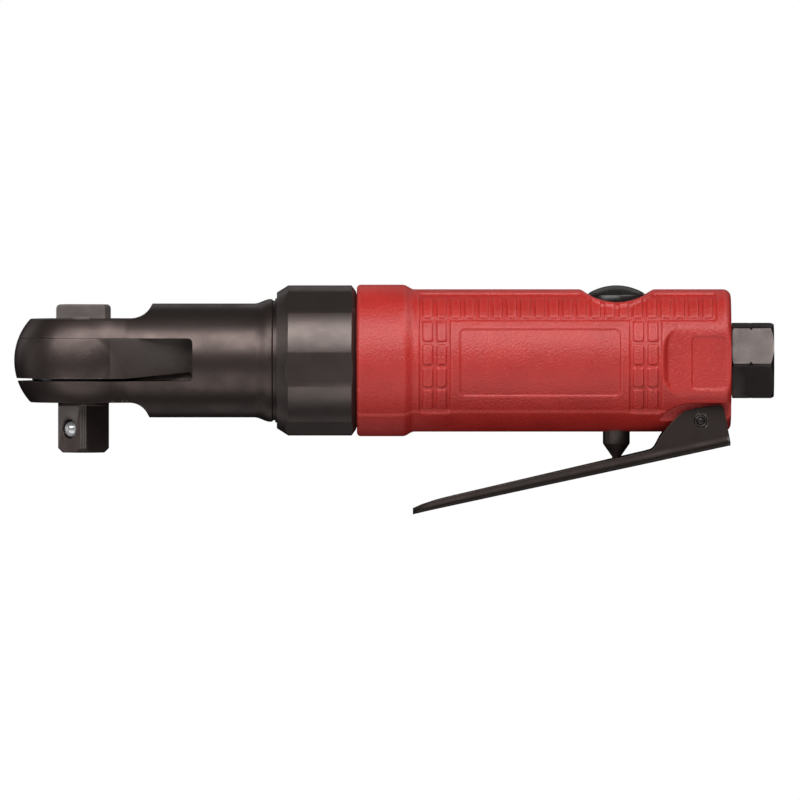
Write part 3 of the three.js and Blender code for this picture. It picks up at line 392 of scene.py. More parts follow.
HANDLE_RADIUS = 16.87
HANDLE = {"front": 64.75, "collar": 17.95, "collar_to": 75.6, "straight": 78.4, "back": 153.3,
          "front_hole": 15.0, "back_hole": 11.0}
EDGE = {"front": 0.9, "back": 1.9}
FACET = {"at": 15.1, "front": 138.2, "half": 9.0, "corner": 5.5, "slope": 1.6}
POCKET = {"inside": 9.3, "roof": 9.9, "full": 144.6, "start": 134.4, "rise": 9.0}
SADDLE = {"at": 126.3, "radius": 13.6, "floor": 13.9}
RELIEF = {"depth": 0.42, "edge": 0.34, "corner": 0.55, "frame_corner": 0.8, "fade_from": 16.0, "fade": 0.6}
FRAME = {"side": 0.9, "end": 0.4, "rib": 0.5, "saddle": 1.0}  # width of the sunk frame round the raised cells
ROWS = [(9.45, 4.83), (4.03, -0.78), (-1.42, -6.04), (-6.75, -11.35)]
COLUMNS = [(79.5, 86.8), (129.2, 136.8)]
COLUMN_FOOT = -12.34
LADDER = {"from": 79.5, "to": 149.8, "low": 9.6, "high": 16.0, "cell_low": 10.4, "cell_high": 14.9,
          "pitch": 3.31, "cell": 2.2}
PANEL = {"x": (89.1, 127.0), "z": (-8.2, 7.65), "corner": 1.3, "depth": 0.34}
FACET_PANEL = {"x": (143.9, 152.0), "z": (-6.75, 5.92), "corner": 1.0, "depth": 0.3}
BLEND = {"facet": 0.6, "pocket_wall": 0.5, "pocket": 0.3, "saddle": 0.45}  # how softly the limits meet
STEP = 0.26  # spacing of the handle's surface points


def skin(x, radius, turn):
    """A closed surface round the x axis from grids of x, distance from the axis and angle."""
    rows, columns = radius.shape
    vertices = np.stack([x, radius * np.cos(turn), radius * np.sin(turn)], axis=-1).reshape(-1, 3)
    faces = []
    for row in range(rows - 1):
        here, there = row * columns, (row + 1) * columns
        for i in range(columns):
            j = (i + 1) % columns
            faces.append([here + i, here + j, there + j, there + i])
    faces.append(list(range(columns - 1, -1, -1)))
    faces.append([(rows - 1) * columns + i for i in range(columns)])
    return new_mesh(vertices, faces)


def around(height):
    """Distance round the handle from its side to a given height."""
    return HANDLE_RADIUS * math.asin(height / HANDLE_RADIUS)


def rounded_box(x, u, low, high, corner):
    """Signed distance from a rounded rectangle, negative inside."""
    middle = [(a + b) / 2 for a, b in zip(low, high)]
    half = [(b - a) / 2 - corner for a, b in zip(low, high)]
    dx = np.abs(x - middle[0]) - half[0]
    du = np.abs(u - middle[1]) - half[1]
    outside = np.hypot(np.maximum(dx, 0), np.maximum(du, 0))
    return outside + np.minimum(np.maximum(dx, du), 0) - corner


def ease(distance, edge):
    """1 well inside, 0 well outside, with a soft wall edge wide."""
    t = np.clip(0.5 - distance / edge, 0, 1)
    return t * t * (3 - 2 * t)


def soft_min(a, b, reach):
    h = np.clip(0.5 + (b - a) / (2 * reach), 0, 1)
    return b * (1 - h) + a * h - reach * h * (1 - h)


def soft_max(a, b, reach):
    return -soft_min(-a, -b, reach)


def saddle_floor(x):
    """Height of the hollow in which the speed knob lies."""
    run = np.clip(np.abs(x - SADDLE["at"]), 0, SADDLE["radius"] - 0.01)
    return SADDLE["floor"] + SADDLE["radius"] - np.sqrt(SADDLE["radius"] ** 2 - run * run)


def relief(x, u):
    """How deep the moulded pattern lies at a point x along and u round the side."""
    side, rib = FRAME["side"], FRAME["rib"]
    low, high = (LADDER["from"], around(LADDER["low"])), (LADDER["to"], around(LADDER["high"]))
    sink = rounded_box(x, u, low, high, RELIEF["frame_corner"])
    for start, end in COLUMNS:
        low, high = (start, around(COLUMN_FOOT)), (end, around(LADDER["low"]) + OVER)
        sink = np.minimum(sink, rounded_box(x, u, low, high, RELIEF["frame_corner"]))
    height = HANDLE_RADIUS * np.sin(np.clip(u / HANDLE_RADIUS, -1.5, 1.5))
    sink = np.maximum(sink, height - (saddle_floor(x) - FRAME["saddle"]))
    proud = np.full_like(x, FAR)
    first = LADDER["from"] + side
    count = int((LADDER["to"] - FRAME["end"] - first) / LADDER["pitch"]) + 1
    for i in range(count):
        left = first + i * LADDER["pitch"]
        cell = rounded_box(x, u, (left, around(LADDER["cell_low"])),
                           (left + LADDER["cell"], around(LADDER["cell_high"])), RELIEF["corner"])
        proud = np.minimum(proud, cell)
    for start, end in COLUMNS:
        middle = (start + end) / 2
        for left, right in ((start + side, middle - rib), (middle + rib, end - side)):
            for high, low in ROWS:
                cell = rounded_box(x, u, (left, around(low)), (right, around(high)), RELIEF["corner"])
                proud = np.minimum(proud, cell)
    depth = RELIEF["depth"] * (ease(sink, RELIEF["edge"]) - ease(proud, RELIEF["edge"]))
    low, high = ((PANEL["x"][i], around(PANEL["z"][i])) for i in (0, 1))
    return depth + PANEL["depth"] * ease(rounded_box(x, u, low, high, PANEL["corner"]), RELIEF["edge"])


def handle_profile():
    """(x, radius) down the outside, from the front face to the rear face."""
    front, back = EDGE["front"], EDGE["back"]
    collar, straight = HANDLE["collar"], HANDLE["straight"]
    hole = HANDLE["front_hole"]
    points = [(HANDLE["front"], hole + i * (collar - front - hole) / 4) for i in range(4)]
    points += arc(HANDLE["front"] + front, collar - front, front, 180, 90, 6)
    count = int((HANDLE["collar_to"] - points[-1][0]) / STEP)
    start = points[-1][0]
    points += [(start + (HANDLE["collar_to"] - start) * i / count, collar) for i in range(1, count + 1)]
    for i in range(1, 13):
        t = i / 12
        drop = (collar - HANDLE_RADIUS) * (1 - math.cos(math.pi * t)) / 2
        points.append((HANDLE["collar_to"] + (straight - HANDLE["collar_to"]) * t, collar - drop))
    run = HANDLE["back"] - back - straight
    count = int(run / STEP)
    points += [(straight + run * i / count, HANDLE_RADIUS) for i in range(1, count)]
    points += arc(HANDLE["back"] - back, HANDLE_RADIUS - back, back, 90, 0, 10)
    face = HANDLE_RADIUS - back
    points += [(HANDLE["back"], face - i * (face - HANDLE["back_hole"]) / 8) for i in range(1, 9)]
    return points


def handle_skin():
    """The handle's outside: a profile turned about the axis, cut back by each flat, saddle and pocket."""
    profile = np.array(handle_profile())
    sides = int(2 * math.pi * HANDLE_RADIUS / STEP / 4) * 4
    angle = np.arange(sides) * 2 * math.pi / sides
    x, turn = np.meshgrid(profile[:, 0], angle, indexing="ij")
    base = np.repeat(profile[:, 1:2], sides, axis=1)
    across, up = np.abs(np.cos(turn)) + 1e-6, np.sin(turn)
    u = HANDLE_RADIUS * np.arcsin(up)
    # the pattern fades out where the profile turns in at the ends
    radius = base - relief(x, u) * np.clip((base - RELIEF["fade_from"]) / RELIEF["fade"], 0, 1)
    z_facet = FACET["at"] * up / across
    low, high = (FACET["front"], -FACET["half"]), (HANDLE["back"] + 20, FACET["half"])
    outside = np.maximum(rounded_box(x, z_facet, low, high, FACET["corner"]), 0)
    low, high = ((FACET_PANEL["x"][i], FACET_PANEL["z"][i]) for i in (0, 1))
    panel = rounded_box(x, z_facet, low, high, FACET_PANEL["corner"])
    flat = FACET["at"] - FACET_PANEL["depth"] * ease(panel, RELIEF["edge"])
    radius = soft_min(radius, (flat + FACET["slope"] * outside) / across, BLEND["facet"])
    reach = np.clip((POCKET["full"] - x) / (POCKET["full"] - POCKET["start"]), 0, 1)
    roof = POCKET["roof"] + POCKET["rise"] * (1 - np.sqrt(np.clip(1 - reach * reach, 0, 1)))
    down = np.where(up < -1e-3, -up, 1e-3)
    pocket = soft_max(POCKET["inside"] / across, roof / down, BLEND["pocket_wall"])
    radius = soft_min(radius, pocket, BLEND["pocket"])
    rising = np.where(up > 1e-3, up, 1e-3)
    radius = soft_min(radius, saddle_floor(x) / rising, BLEND["saddle"])
    return skin(x, radius, turn)


MOTOR_BORE = {"radius": 14.0, "to": 98.2, "manifold": 12.5, "manifold_to": 101}
NOSE = {"from": 51.3, "outer": 15.9, "inner": 14.9}
EXHAUST_INNER = 9.4
INLET_BORE = {"start": 120, "passage": 4, "from": 138, "radius": 8}
VALVE_BORE = {"bottom": -20, "seat": -11.5, "chamber": 5, "floor": -5.5, "stem": 6, "knob_floor": 13.6,
              "top": 22}
PIN_HOLE = 1.53


def motor_housing():
    valve_x = (span("regulator_knob")[0][0] + span("regulator_knob")[1][0]) / 2
    knob = span("regulator_knob")[1][0] - valve_x + 0.25
    plunger = (span("throttle_plunger")[1][0] - span("throttle_plunger")[0][0]) / 2 + 0.1
    pin = span("lever_pin")
    pin_x, pin_z = (pin[0][0] + pin[1][0]) / 2, (pin[0][2] + pin[1][2]) / 2
    muffler = span("exhaust_silencer")
    front, back = HANDLE["front"] - OVER, HANDLE["back"] + OVER
    nose = tube("x", NOSE["from"], HANDLE["front"] + 2, NOSE["outer"], NOSE["inner"])
    motor = turned("x", [
        (front, 0), (front, MOTOR_BORE["radius"]), (MOTOR_BORE["to"], MOTOR_BORE["radius"]),
        (MOTOR_BORE["to"], MOTOR_BORE["manifold"]), (MOTOR_BORE["manifold_to"], MOTOR_BORE["manifold"]),
        (MOTOR_BORE["manifold_to"], 0),
    ], 96)
    exhaust = tube("x", muffler[0][0] - 0.4, back, muffler[1][1] + 0.1, EXHAUST_INNER)
    inlet = turned("x", [
        (INLET_BORE["start"], 0), (INLET_BORE["start"], INLET_BORE["passage"]),
        (INLET_BORE["from"], INLET_BORE["passage"]), (INLET_BORE["from"], INLET_BORE["radius"]),
        (back, INLET_BORE["radius"]), (back, 0),
    ], 96)
    valve = turned("z", [
        (VALVE_BORE["bottom"], 0), (VALVE_BORE["bottom"], plunger), (VALVE_BORE["seat"], plunger),
        (VALVE_BORE["seat"], VALVE_BORE["chamber"]), (VALVE_BORE["floor"], VALVE_BORE["chamber"]),
        (VALVE_BORE["floor"], VALVE_BORE["stem"]), (VALVE_BORE["knob_floor"], VALVE_BORE["stem"]),
        (VALVE_BORE["knob_floor"], knob), (VALVE_BORE["top"], knob), (VALVE_BORE["top"], 0),
    ], 96)
    pin_hole = moved(prism("y", arc(0, 0, PIN_HOLE, 0, 360, 32)[:-1], -20, 20), pin_x, 0, pin_z)
    shell = cut(handle_skin(), motor, exhaust, inlet, moved(valve, valve_x), pin_hole)
    return join(shell, nose)


piece("motor_housing_casting", motor_housing(), "housing", ["motor_housing"], RED, 40)

# ------------------------------------------------------------- ratchet head

HEAD = {"radius": 16.44, "side_arc": 14.62, "half": 9.9}
SLOT = {"low": -4.8, "high": 5.35, "back": 25.9, "corner": 1.1}
NECK = {"radius": 13.5, "flat_end": 11.0, "top": 16.3, "bottom": 15.5}
BUSHING_HOLE = {"radius": 11.0, "mouth": 11.05, "groove": 11.5, "groove_low": -9.65, "groove_high": -8.55}
BUTTON_HOLE = {"radius": 7.0, "mouth": 8.9}
FLARE = {"from": 40.4, "run": 3.9, "rise": 1.05}
FILLET = {"size": 1.8, "at": 9, "run": 12, "least": 0.05, "end": 20}
CUP = {"radius": 14.7, "collar": 15.9, "collar_from": 48.4, "collar_to": 51, "end": 58.0}
CRANK_BORE = {"from": 24.6, "radius": 10.2, "bearing_from": 33.5, "bearing": 9.6, "carrier_from": 41.4,
              "carrier": 11.8, "ring_from": 47.6, "ring": 13.3}


def barrel(radius, low, high, sides=192):
    steps = 24
    heights = [low + (high - low) * i / steps for i in range(steps + 1)]
    reach = HEAD["side_arc"]
    side = [(h, radius - reach + math.sqrt(reach * reach - h * h)) for h in heights]
    return turned("z", [(low, 0), *side, (high, 0)], sides)


def cove(end, x):
    """Height of the flat top or bottom behind the head, where it coves up to the neck's full size."""
    run, rise = end - NECK["flat_end"], NECK["radius"] - HEAD["half"]
    radius = (run * run + rise * rise) / (2 * rise)
    along = np.clip(x - NECK["flat_end"], 0, run)
    height = HEAD["half"] + radius - np.sqrt(radius * radius - along * along)
    return np.where(x < end, height, FAR)


def barrel_reach(x, up, across):
    """Distance from the body's axis to the barrel, along each direction, found by halving."""
    near, far = np.zeros_like(x), np.full_like(x, 20.0)
    for _ in range(28):
        middle = (near + far) / 2
        height = np.clip(middle * up, -HEAD["side_arc"] + 0.01, HEAD["side_arc"] - 0.01)
        side = HEAD["radius"] - HEAD["side_arc"] + np.sqrt(HEAD["side_arc"] ** 2 - height * height)
        outside = x * x + (middle * across) ** 2 > side * side
        far = np.where(outside, middle, far)
        near = np.where(outside, near, middle)
    return (near + far) / 2


def head_profile():
    """(x, neck radius) stations, close together where the nose is steep, with the flare into the cup."""
    stations = [-HEAD["radius"] * math.cos(math.pi / 2 * (i / 60) ** 1.2) + 1e-3 for i in range(1, 61)]
    stations += [i * STEP for i in range(1, int(FLARE["from"] / STEP))]
    points = [(x, NECK["radius"]) for x in stations]
    for i in range(21):
        swell = FLARE["rise"] * (1 - math.cos(math.pi * i / 20)) / 2
        points.append((FLARE["from"] + FLARE["run"] * i / 20, NECK["radius"] + swell))
    groove = [(44.6, 14.53), (44.8, 14.4), (44.9, 14.2), (45.4, 14.2), (45.4, CUP["radius"])]
    collar = [
        (CUP["collar_from"], CUP["radius"]), (CUP["collar_from"], CUP["collar"]),
        (CUP["collar_to"], CUP["collar"]), (CUP["collar_to"], CUP["radius"]),
    ]
    return points + groove + collar + [(CUP["end"], CUP["radius"])]


def head_skin():
    profile = np.array(head_profile())
    sides = 360
    angle = np.arange(sides) * 2 * math.pi / sides
    x, turn = np.meshgrid(profile[:, 0], angle, indexing="ij")
    neck = np.repeat(profile[:, 1:2], sides, axis=1)
    across, up = np.abs(np.cos(turn)), np.sin(turn)
    reach = barrel_reach(x, up, across)
    # the neck starts inside the barrel and swells out of it
    neck_here = np.where(x > 0, neck, 0.0)
    fading = FILLET["size"] * (1 - np.abs(x - FILLET["at"]) / FILLET["run"])
    fillet = np.clip(fading, FILLET["least"], FILLET["size"])
    radius = np.where(x > 0, soft_max(reach, neck_here, fillet), reach)
    radius = np.where(x > FILLET["end"], neck, radius)
    limit = np.where(up > 0, cove(NECK["top"], x), cove(NECK["bottom"], x)) / (np.abs(up) + 1e-6)
    radius = soft_min(radius, limit, 0.12)
    return skin(x, np.maximum(radius, 0.02), turn)


def ratchet_housing():
    back, corner, nose = SLOT["back"], SLOT["corner"], -HEAD["radius"] - OVER
    window = [
        (nose, SLOT["low"]), *arc(back - corner, SLOT["low"] + corner, corner, -90, 0, 8),
        *arc(back - corner, SLOT["high"] - corner, corner, 0, 90, 8), (nose, SLOT["high"]),
    ]
    top, middle = 9.5, 4
    button = turned("z", [
        (middle, 0), (middle, BUTTON_HOLE["radius"]), (top, BUTTON_HOLE["radius"]),
        (11.4, BUTTON_HOLE["mouth"]), (11.4, 0),
    ])
    bushing = turned("z", [
        (-11.4, 0), (-11.4, BUSHING_HOLE["mouth"]), (-9.7, BUSHING_HOLE["mouth"]),
        (-top, BUSHING_HOLE["radius"]), (-middle, BUSHING_HOLE["radius"]), (-middle, 0),
    ])
    groove = rod("z", BUSHING_HOLE["groove_low"], BUSHING_HOLE["groove_high"], BUSHING_HOLE["groove"])
    end = CUP["end"] + OVER
    crank = turned("x", [
        (CRANK_BORE["from"], 0), (CRANK_BORE["from"], CRANK_BORE["radius"]),
        (CRANK_BORE["bearing_from"], CRANK_BORE["radius"]),
        (CRANK_BORE["bearing_from"], CRANK_BORE["bearing"]),
        (CRANK_BORE["carrier_from"], CRANK_BORE["bearing"]),
        (CRANK_BORE["carrier_from"], CRANK_BORE["carrier"]),
        (CRANK_BORE["ring_from"], CRANK_BORE["carrier"]), (CRANK_BORE["ring_from"], CRANK_BORE["ring"]),
        (end, CRANK_BORE["ring"]), (end, 0),
    ])
    return cut(head_skin(), prism("y", window, -19, 19), button, bushing, groove, crank)


YOKE = {"low": -4.15, "high": 5.29}
TEETH = {"count": 36, "tip": 10.7, "root": 11.6}
CHEEK = {"outline": [(0, 15.1), (6.5, 15.1), (24.5, 7.4), (26.5, 7.4)], "inner": 6.2}
TAPER = {"from": 10, "to": 27.5, "height": -2.5}
KEEL = {"from": 12.22, "to": 26.5, "low": -4.7}
FORK = {"from": 25.5, "to": 30.1, "half": 7.4, "height": 3.2}


def ratchet_yoke():
    low, high = YOKE["low"], YOKE["high"]
    teeth = []
    for i in range(2 * TEETH["count"]):
        radius, angle = (TEETH["tip"] if i % 2 else TEETH["root"]), math.pi * i / TEETH["count"]
        teeth.append((radius * math.cos(angle), radius * math.sin(angle)))
    cheek, inner = CHEEK["outline"], CHEEK["inner"]
    taper = [
        (TAPER["from"], low), (TAPER["to"], TAPER["height"]),
        (TAPER["to"], low - OVER), (TAPER["from"], low - OVER),
    ]
    tail = join(
        cut(prism("z", [(x, -y) for x, y in cheek] + cheek[::-1], low, high),
            prism("y", taper, inner, 18), prism("y", taper, -18, -inner)),
        box((KEEL["from"], -inner, KEEL["low"]), (KEEL["to"], inner, low + OVER)),
        box((FORK["from"], -FORK["half"], -FORK["height"]), (FORK["to"], FORK["half"], FORK["height"])),
    )
    gap = [(24, -5.3), (31.1, -5.3), (31.1, 5.3), (24, 5.3), (22.5, 3.8), (22.5, -3.8)]
    return cut(
        join(barrel(HEAD["radius"], low, high), tail),
        prism("z", teeth, low - OVER, high + OVER), prism("z", gap, low - OVER, high + OVER),
    )


SQUARE = {"flats": 9.5, "corners": 12.06, "chamfer": 1.05}
BALL = {"radius": 2.0, "hole": 2.15, "height": 5.6}
PAWL_POCKET = {"outer": 11.2, "inner": 3.2, "reach": 38, "low": -2.6, "high": 3.6, "pin": -7.0}
BUTTON_TURN = -16.3


def anvil():
    tip = -AXIS
    core = turned("z", [
        (-10.75, 0), (-10.75, 5.85), (-10.55, 6.05), (-9.95, 6.05), (-9.95, 7.2), (-9.75, 7.5), (-4.05, 7.5),
        (-4.05, 10.2), (5.1, 10.2), (5.1, 6.9), (9.55, 6.9), (9.75, 6.7), (9.75, 0),
    ])
    corner = SQUARE["corners"] / 2
    square = overlap(
        prism("z", polygon(SQUARE["flats"], 4, 0), tip, -HEAD["half"]),
        turned("z", [
            (tip, 0), (tip, corner - SQUARE["chamfer"]), (tip + SQUARE["chamfer"], corner),
            (-HEAD["half"], corner), (-HEAD["half"], 0),
        ], 192),
    )
    narrow, wide = BALL["hole"], BALL["hole"] + 0.35
    hole = turned("x", [(-3.1, 0), (-3.1, narrow), (4.45, narrow), (4.95, wide), (8, wide), (8, 0)], 64)
    hole = moved(spun(hole, "z", 225), 0, 0, tip + BALL["height"])
    start, end = 180 - PAWL_POCKET["reach"], 180 + PAWL_POCKET["reach"]
    pocket = arc(0, 0, PAWL_POCKET["outer"], start, end, 16) + arc(0, 0, PAWL_POCKET["inner"], end, start, 12)
    button_well = rod("z", -2.5, 11, 3.5)
    pin_hole = moved(rod("z", -5.05, 6.1, 1.23, 32), PAWL_POCKET["pin"])
    pocket = prism("z", pocket, PAWL_POCKET["low"], PAWL_POCKET["high"])
    return cut(join(core, square), hole, pocket, button_well, pin_hole)


def detent_ball():
    ball = bmesh.new()
    bmesh.ops.create_uvsphere(ball, u_segments=48, v_segments=32, radius=BALL["radius"])
    mesh = bpy.data.meshes.new("ball")
    ball.to_mesh(mesh)
    ball.free()
    low, high = span("detent_ball")
    return moved(mesh, *[(a + b) / 2 for a, b in zip(low, high)])


def reverse_button():
    half, low, high, corner, width, round_edge = 6.095, 9.95, 13.3, 1.0, 2.5, 0.35
    bar = [(-half, low), (half, low), *arc(half - corner, high - corner, corner, 0, 90, 8),
           *arc(corner - half, high - corner, corner, 90, 180, 8)]
    block = prism("y", bar, -width, width)
    mesh = bmesh.new()
    mesh.from_mesh(block)
    rim = [e for e in mesh.edges if len(e.link_faces) == 2 and e.calc_face_angle() > 1.0
           and max(v.co[2] for v in e.verts) > low + 0.1]
    bmesh.ops.bevel(mesh, geom=rim, offset=round_edge, segments=4, affect="EDGES", profile=0.5)
    mesh.to_mesh(block)
    mesh.free()
    return spun(join(block, rod("z", -2.2, low + 0.4, 3.4)), "z", BUTTON_TURN)


RING = {"outer": 11.4, "inner": 9.2, "low": -9.55, "high": -8.65, "gap": 20}


def retaining_ring():
    gap = RING["gap"]
    outer = arc(0, 0, RING["outer"], gap, 360 - gap, 72)
    inner = arc(0, 0, RING["inner"], 360 - gap, gap, 72)
    return prism("z", outer + inner, RING["low"], RING["high"])


piece("ratchet_housing_forging", ratchet_housing(), "housing", ["ratchet_housing"], BLACK_X)
piece("ratchet_yoke_ring", ratchet_yoke(), "yoke", ["ratchet_yoke"], BLACK_LINED)
piece("anvil_drive", anvil(), "anvil", ["anvil"], BLACK_Z)
piece("detent_ball_polished", detent_ball(), "ball", ["detent_ball"], SLOT_MATERIALS["bright_steel"],
      180)
piece("reverse_button_knob", reverse_button(), "button", ["reverse_button"], BLACK_KNOB, 35)
piece("retaining_ring_clip", retaining_ring(), "housing", ["retaining_ring"], BLACK)
piece("anvil_bushing_ring", tube("z", -8.4, -4.85, 10.9, 7.6), "housing", ["anvil_bushing"],
      SLOT_MATERIALS["bronze"])
piece("thrust_washer_disc", tube("z", -4.6, -4.3, 12.2, 7.6), "housing", ["thrust_washer"],
      SLOT_MATERIALS["ground_steel"])

# ---------------------------------------------------------------- clamp nut


NUT = {"front": 45.8, "back": 64.6, "outer": 17.8, "flats": 34.7, "turn": 36.6, "thread": 16.1, "lip": 14.95}


def clamp_nut():
    ring = turned("x", [
        (NUT["front"], NUT["lip"]), (NUT["front"], 16.1), (48.5, NUT["outer"]), (63.5, NUT["outer"]),
        (NUT["back"], 16.3), (NUT["back"], NUT["thread"]), (48.1, NUT["thread"]), (48.1, NUT["lip"]),
        (NUT["front"], NUT["lip"]),
    ], 240)
    return overlap(ring, prism("x", polygon(NUT["flats"], 6, NUT["turn"]), 44, 66))


piece("clamp_nut_ring", clamp_nut(), "housing", ["clamp_nut"], BLACK_X)

# ----------------------------------------------------------- throttle valve


def throttle_plunger():
    x = (span("throttle_plunger")[0][0] + span("throttle_plunger")[1][0]) / 2
    tip = span("throttle_plunger")[0][2]
    nose = [(tip + 1.0 - math.cos(a), 1.0 * math.sin(a)) for a in (i * math.pi / 16 for i in range(8))]
    return moved(turned("z", [
        *nose, (tip + 1.2, 1.05), (-19.9, 3.05), (-19.6, 3.2), (-10.6, 3.2), (-10.6, 1.4),
        (-3.35, 1.4), (-3.35, 0),
    ], 96), x)


KNOB = {"dome": 12.7, "dome_edge": 7.0, "line": 15.75, "slot_half": 0.65, "slot_depth": 1.0}


def regulator_knob():
    x = (span("regulator_knob")[0][0] + span("regulator_knob")[1][0]) / 2
    top, dome, line = span("regulator_knob")[1][2], KNOB["dome"], KNOB["line"]
    centre = top - dome
    edge = math.degrees(math.acos(KNOB["dome_edge"] / dome))
    crown = [(centre + dome * math.sin(math.radians(a)), dome * math.cos(math.radians(a)))
             for a in (edge + (90 - edge) * i / 24 for i in range(24))]
    rim = next(i for i, (height, _) in enumerate(crown) if height > line)
    edge_radius = crown[rim][1]
    groove = [(line, edge_radius + 0.05), (line - 0.13, edge_radius - 0.3), (line + 0.13, edge_radius - 0.3)]
    knob = turned("z", [
        (7.6, 0), (7.6, 5.8), (11.0, 5.8), (11.0, 4.85), (12.2, 4.85), (12.2, 5.8), (13.8, 5.8), (13.8, 6.9),
        (14.1, 7.2), (crown[0][0] - 0.25, 7.2), *crown[:rim], *groove, *crown[rim:], (top, 0),
    ], 144)
    slot = box((-9, -KNOB["slot_half"], top - KNOB["slot_depth"]), (9, KNOB["slot_half"], top + OVER))
    return moved(cut(knob, slot, rod("z", 6, 11, 4)), x)


piece("throttle_plunger_rod", throttle_plunger(), "plunger", ["throttle_plunger"], BLACK_Z)
piece("regulator_knob_dome", regulator_knob(), "knob", ["regulator_knob"], SLOT_MATERIALS["black_plastic"],
      40)

# ----------------------------------------------------------- throttle lever

LEVER_PIVOT = (146.1, -14.2)
SLOPE = math.tan(math.radians(12.26))
LEVER_TIP = -68.1
LEVER_BACK = 7.0
LEVER_SHEET = 1.5
LEVER_BEND = 2.7
LEVER_HALF = 11.0
LEVER_EAR = -11
TIP_RADIUS = 6.8
TIP_CURL = {"from": -62.0, "run": 6.1, "drop": 0.15}
EAR_STATIONS = -13
FLANGE_RISE = [(-68.1, 1.45), (-66.0, 1.8), (-62.6, 2.1), (-60.0, 2.2), (-13.0, 2.9), (-11.6, 3.0)]
EAR_TOP = [
    (-10.9, -6.2), (-10.4, -5.3), (-9.7, -3.9), (-8.6, -2.3), (-6.6, 0.0), (-5.0, 1.55), (-3.6, 2.45),
    (-1.6, 2.95), (1.0, 3.4), (4.4, 3.8), (5.0, 3.7), (5.4, 3.1), (6.6, -2.9), (7.0, -5.0),
]


def lever_under(x):
    """Height of the lever's underside, from its pin. Its tip curls down a little."""
    drop = TIP_CURL["drop"] * max(0.0, (TIP_CURL["from"] - x) / TIP_CURL["run"]) ** 2
    return -6.3 + (x - 4.7) * SLOPE - drop


def lever_top(x):
    """Height of the flange's top edge, from the pin: a low rim along the arm and a tall ear round the pin."""
    rim = [(a, lever_under(a) + rise) for a, rise in FLANGE_RISE]
    points = rim + EAR_TOP
    return float(np.interp(x, [p[0] for p in points], [p[1] for p in points]))


def lever_half_width(x):
    """Half the lever's width, narrowing to a rounded tip."""
    if x > LEVER_EAR:
        return LEVER_HALF
    radius = TIP_RADIUS
    narrow = LEVER_HALF + (radius - LEVER_HALF) * (LEVER_EAR - x) / 50
    from_tip = x - LEVER_TIP
    if from_tip < radius:
        narrow = min(narrow, 1.2 + (narrow - 1.2) * math.sqrt(max(0.0, 1 - (1 - from_tip / radius) ** 2)))
    return narrow


def lever_side(half, under, top, bend):
    """(y, z) points from one flange's top edge, down round the bend and under, to the other's."""
    bend = max(0.25, min(bend, top - under - 0.05, half - 0.2))
    rise = [top + (under + bend - top) * i / 6 for i in range(6)]
    side = [(-half, z) for z in rise]
    corner = [(-half + bend - bend * math.cos(a), under + bend - bend * math.sin(a))
              for a in (math.pi / 2 * i / 8 for i in range(9))]
    web = [(-half + bend + (half - bend) * i / 6, under) for i in range(1, 7)]
    left = side + corner + web
    return left + [(-y, z) for y, z in reversed(left[:-1])]


def lever_sections(x):
    """The outside and the inside of the folded sheet at one station."""
    half, under, top = lever_half_width(x), lever_under(x), lever_top(x)
    outside = lever_side(half, under, top, LEVER_BEND)
    inner_half = max(half - LEVER_SHEET, 0.45 * half)
    inside = lever_side(inner_half, min(under + LEVER_SHEET, top - 0.3), top, LEVER_BEND - LEVER_SHEET)
    return outside, inside


def throttle_lever():
    ear, tip = EAR_STATIONS, LEVER_TIP
    stations = [tip + TIP_RADIUS * (1 - math.cos(math.pi / 2 * i / 14)) for i in range(14)]
    stations += [tip + TIP_RADIUS + (ear - tip - TIP_RADIUS) * i / 40 for i in range(40)]
    stations += [ear + (LEVER_BACK - ear) * i / 60 for i in range(61)]
    rings = []
    for x in stations:
        outside, inside = lever_sections(x)
        rings.append([(LEVER_PIVOT[0] + x, y, LEVER_PIVOT[1] + z) for y, z in outside + inside[::-1]])
    count = len(rings[0])
    half = count // 2
    faces = []
    for row in range(len(rings) - 1):
        here, there = row * count, (row + 1) * count
        for i in range(count):
            j = (i + 1) % count
            faces.append([here + i, here + j, there + j, there + i])
    for row in (0, (len(rings) - 1) * count):
        faces += [[row + i, row + i + 1, row + count - 2 - i, row + count - 1 - i] for i in range(half - 1)]
    sheet = new_mesh([point for ring in rings for point in ring], faces)
    hole = prism("y", arc(0, 0, 1.6, 0, 360, 40)[:-1], -14, 14)
    return cut(sheet, moved(hole, LEVER_PIVOT[0], 0, LEVER_PIVOT[1]))


def lever_pin():
    half = span("lever_pin")[1][1]
    end = [
        (half - 0.35, 1.5), (half - 0.1, 1.3), (half - 0.1, 1.05), (half - 0.45, 0.95), (half - 0.2, 0.7),
        (half, 0),
    ]
    profile = [(-a, r) for a, r in reversed(end)] + end
    pin = spun(turned("z", profile, 64), "x", 90)
    return moved(pin, LEVER_PIVOT[0], 0, LEVER_PIVOT[1])


piece("throttle_lever_pressing", throttle_lever(), "lever", ["throttle_lever"], BLACK_PRESSED,
      35, edges=0.22)
piece("lever_pin_rivet", lever_pin(), "housing", ["lever_pin"], BLACK_HEX)

# -------------------------------------------------------------------- inlet


HEX = {"flats": 17, "turn": 5.3, "start": 153.55, "end": 163.5, "notch": 158.0, "depth": 0.42, "sharp_edge": 0.17}
SPIGOT = {"from": 139.6, "radius": 7.85, "seal_from": 141.9, "seal_to": 143.1, "seal": 6.8}
THREAD = {"from": 151.5, "turns": 16, "pitch": 0.65, "crest": 5.3, "root": 5.7}


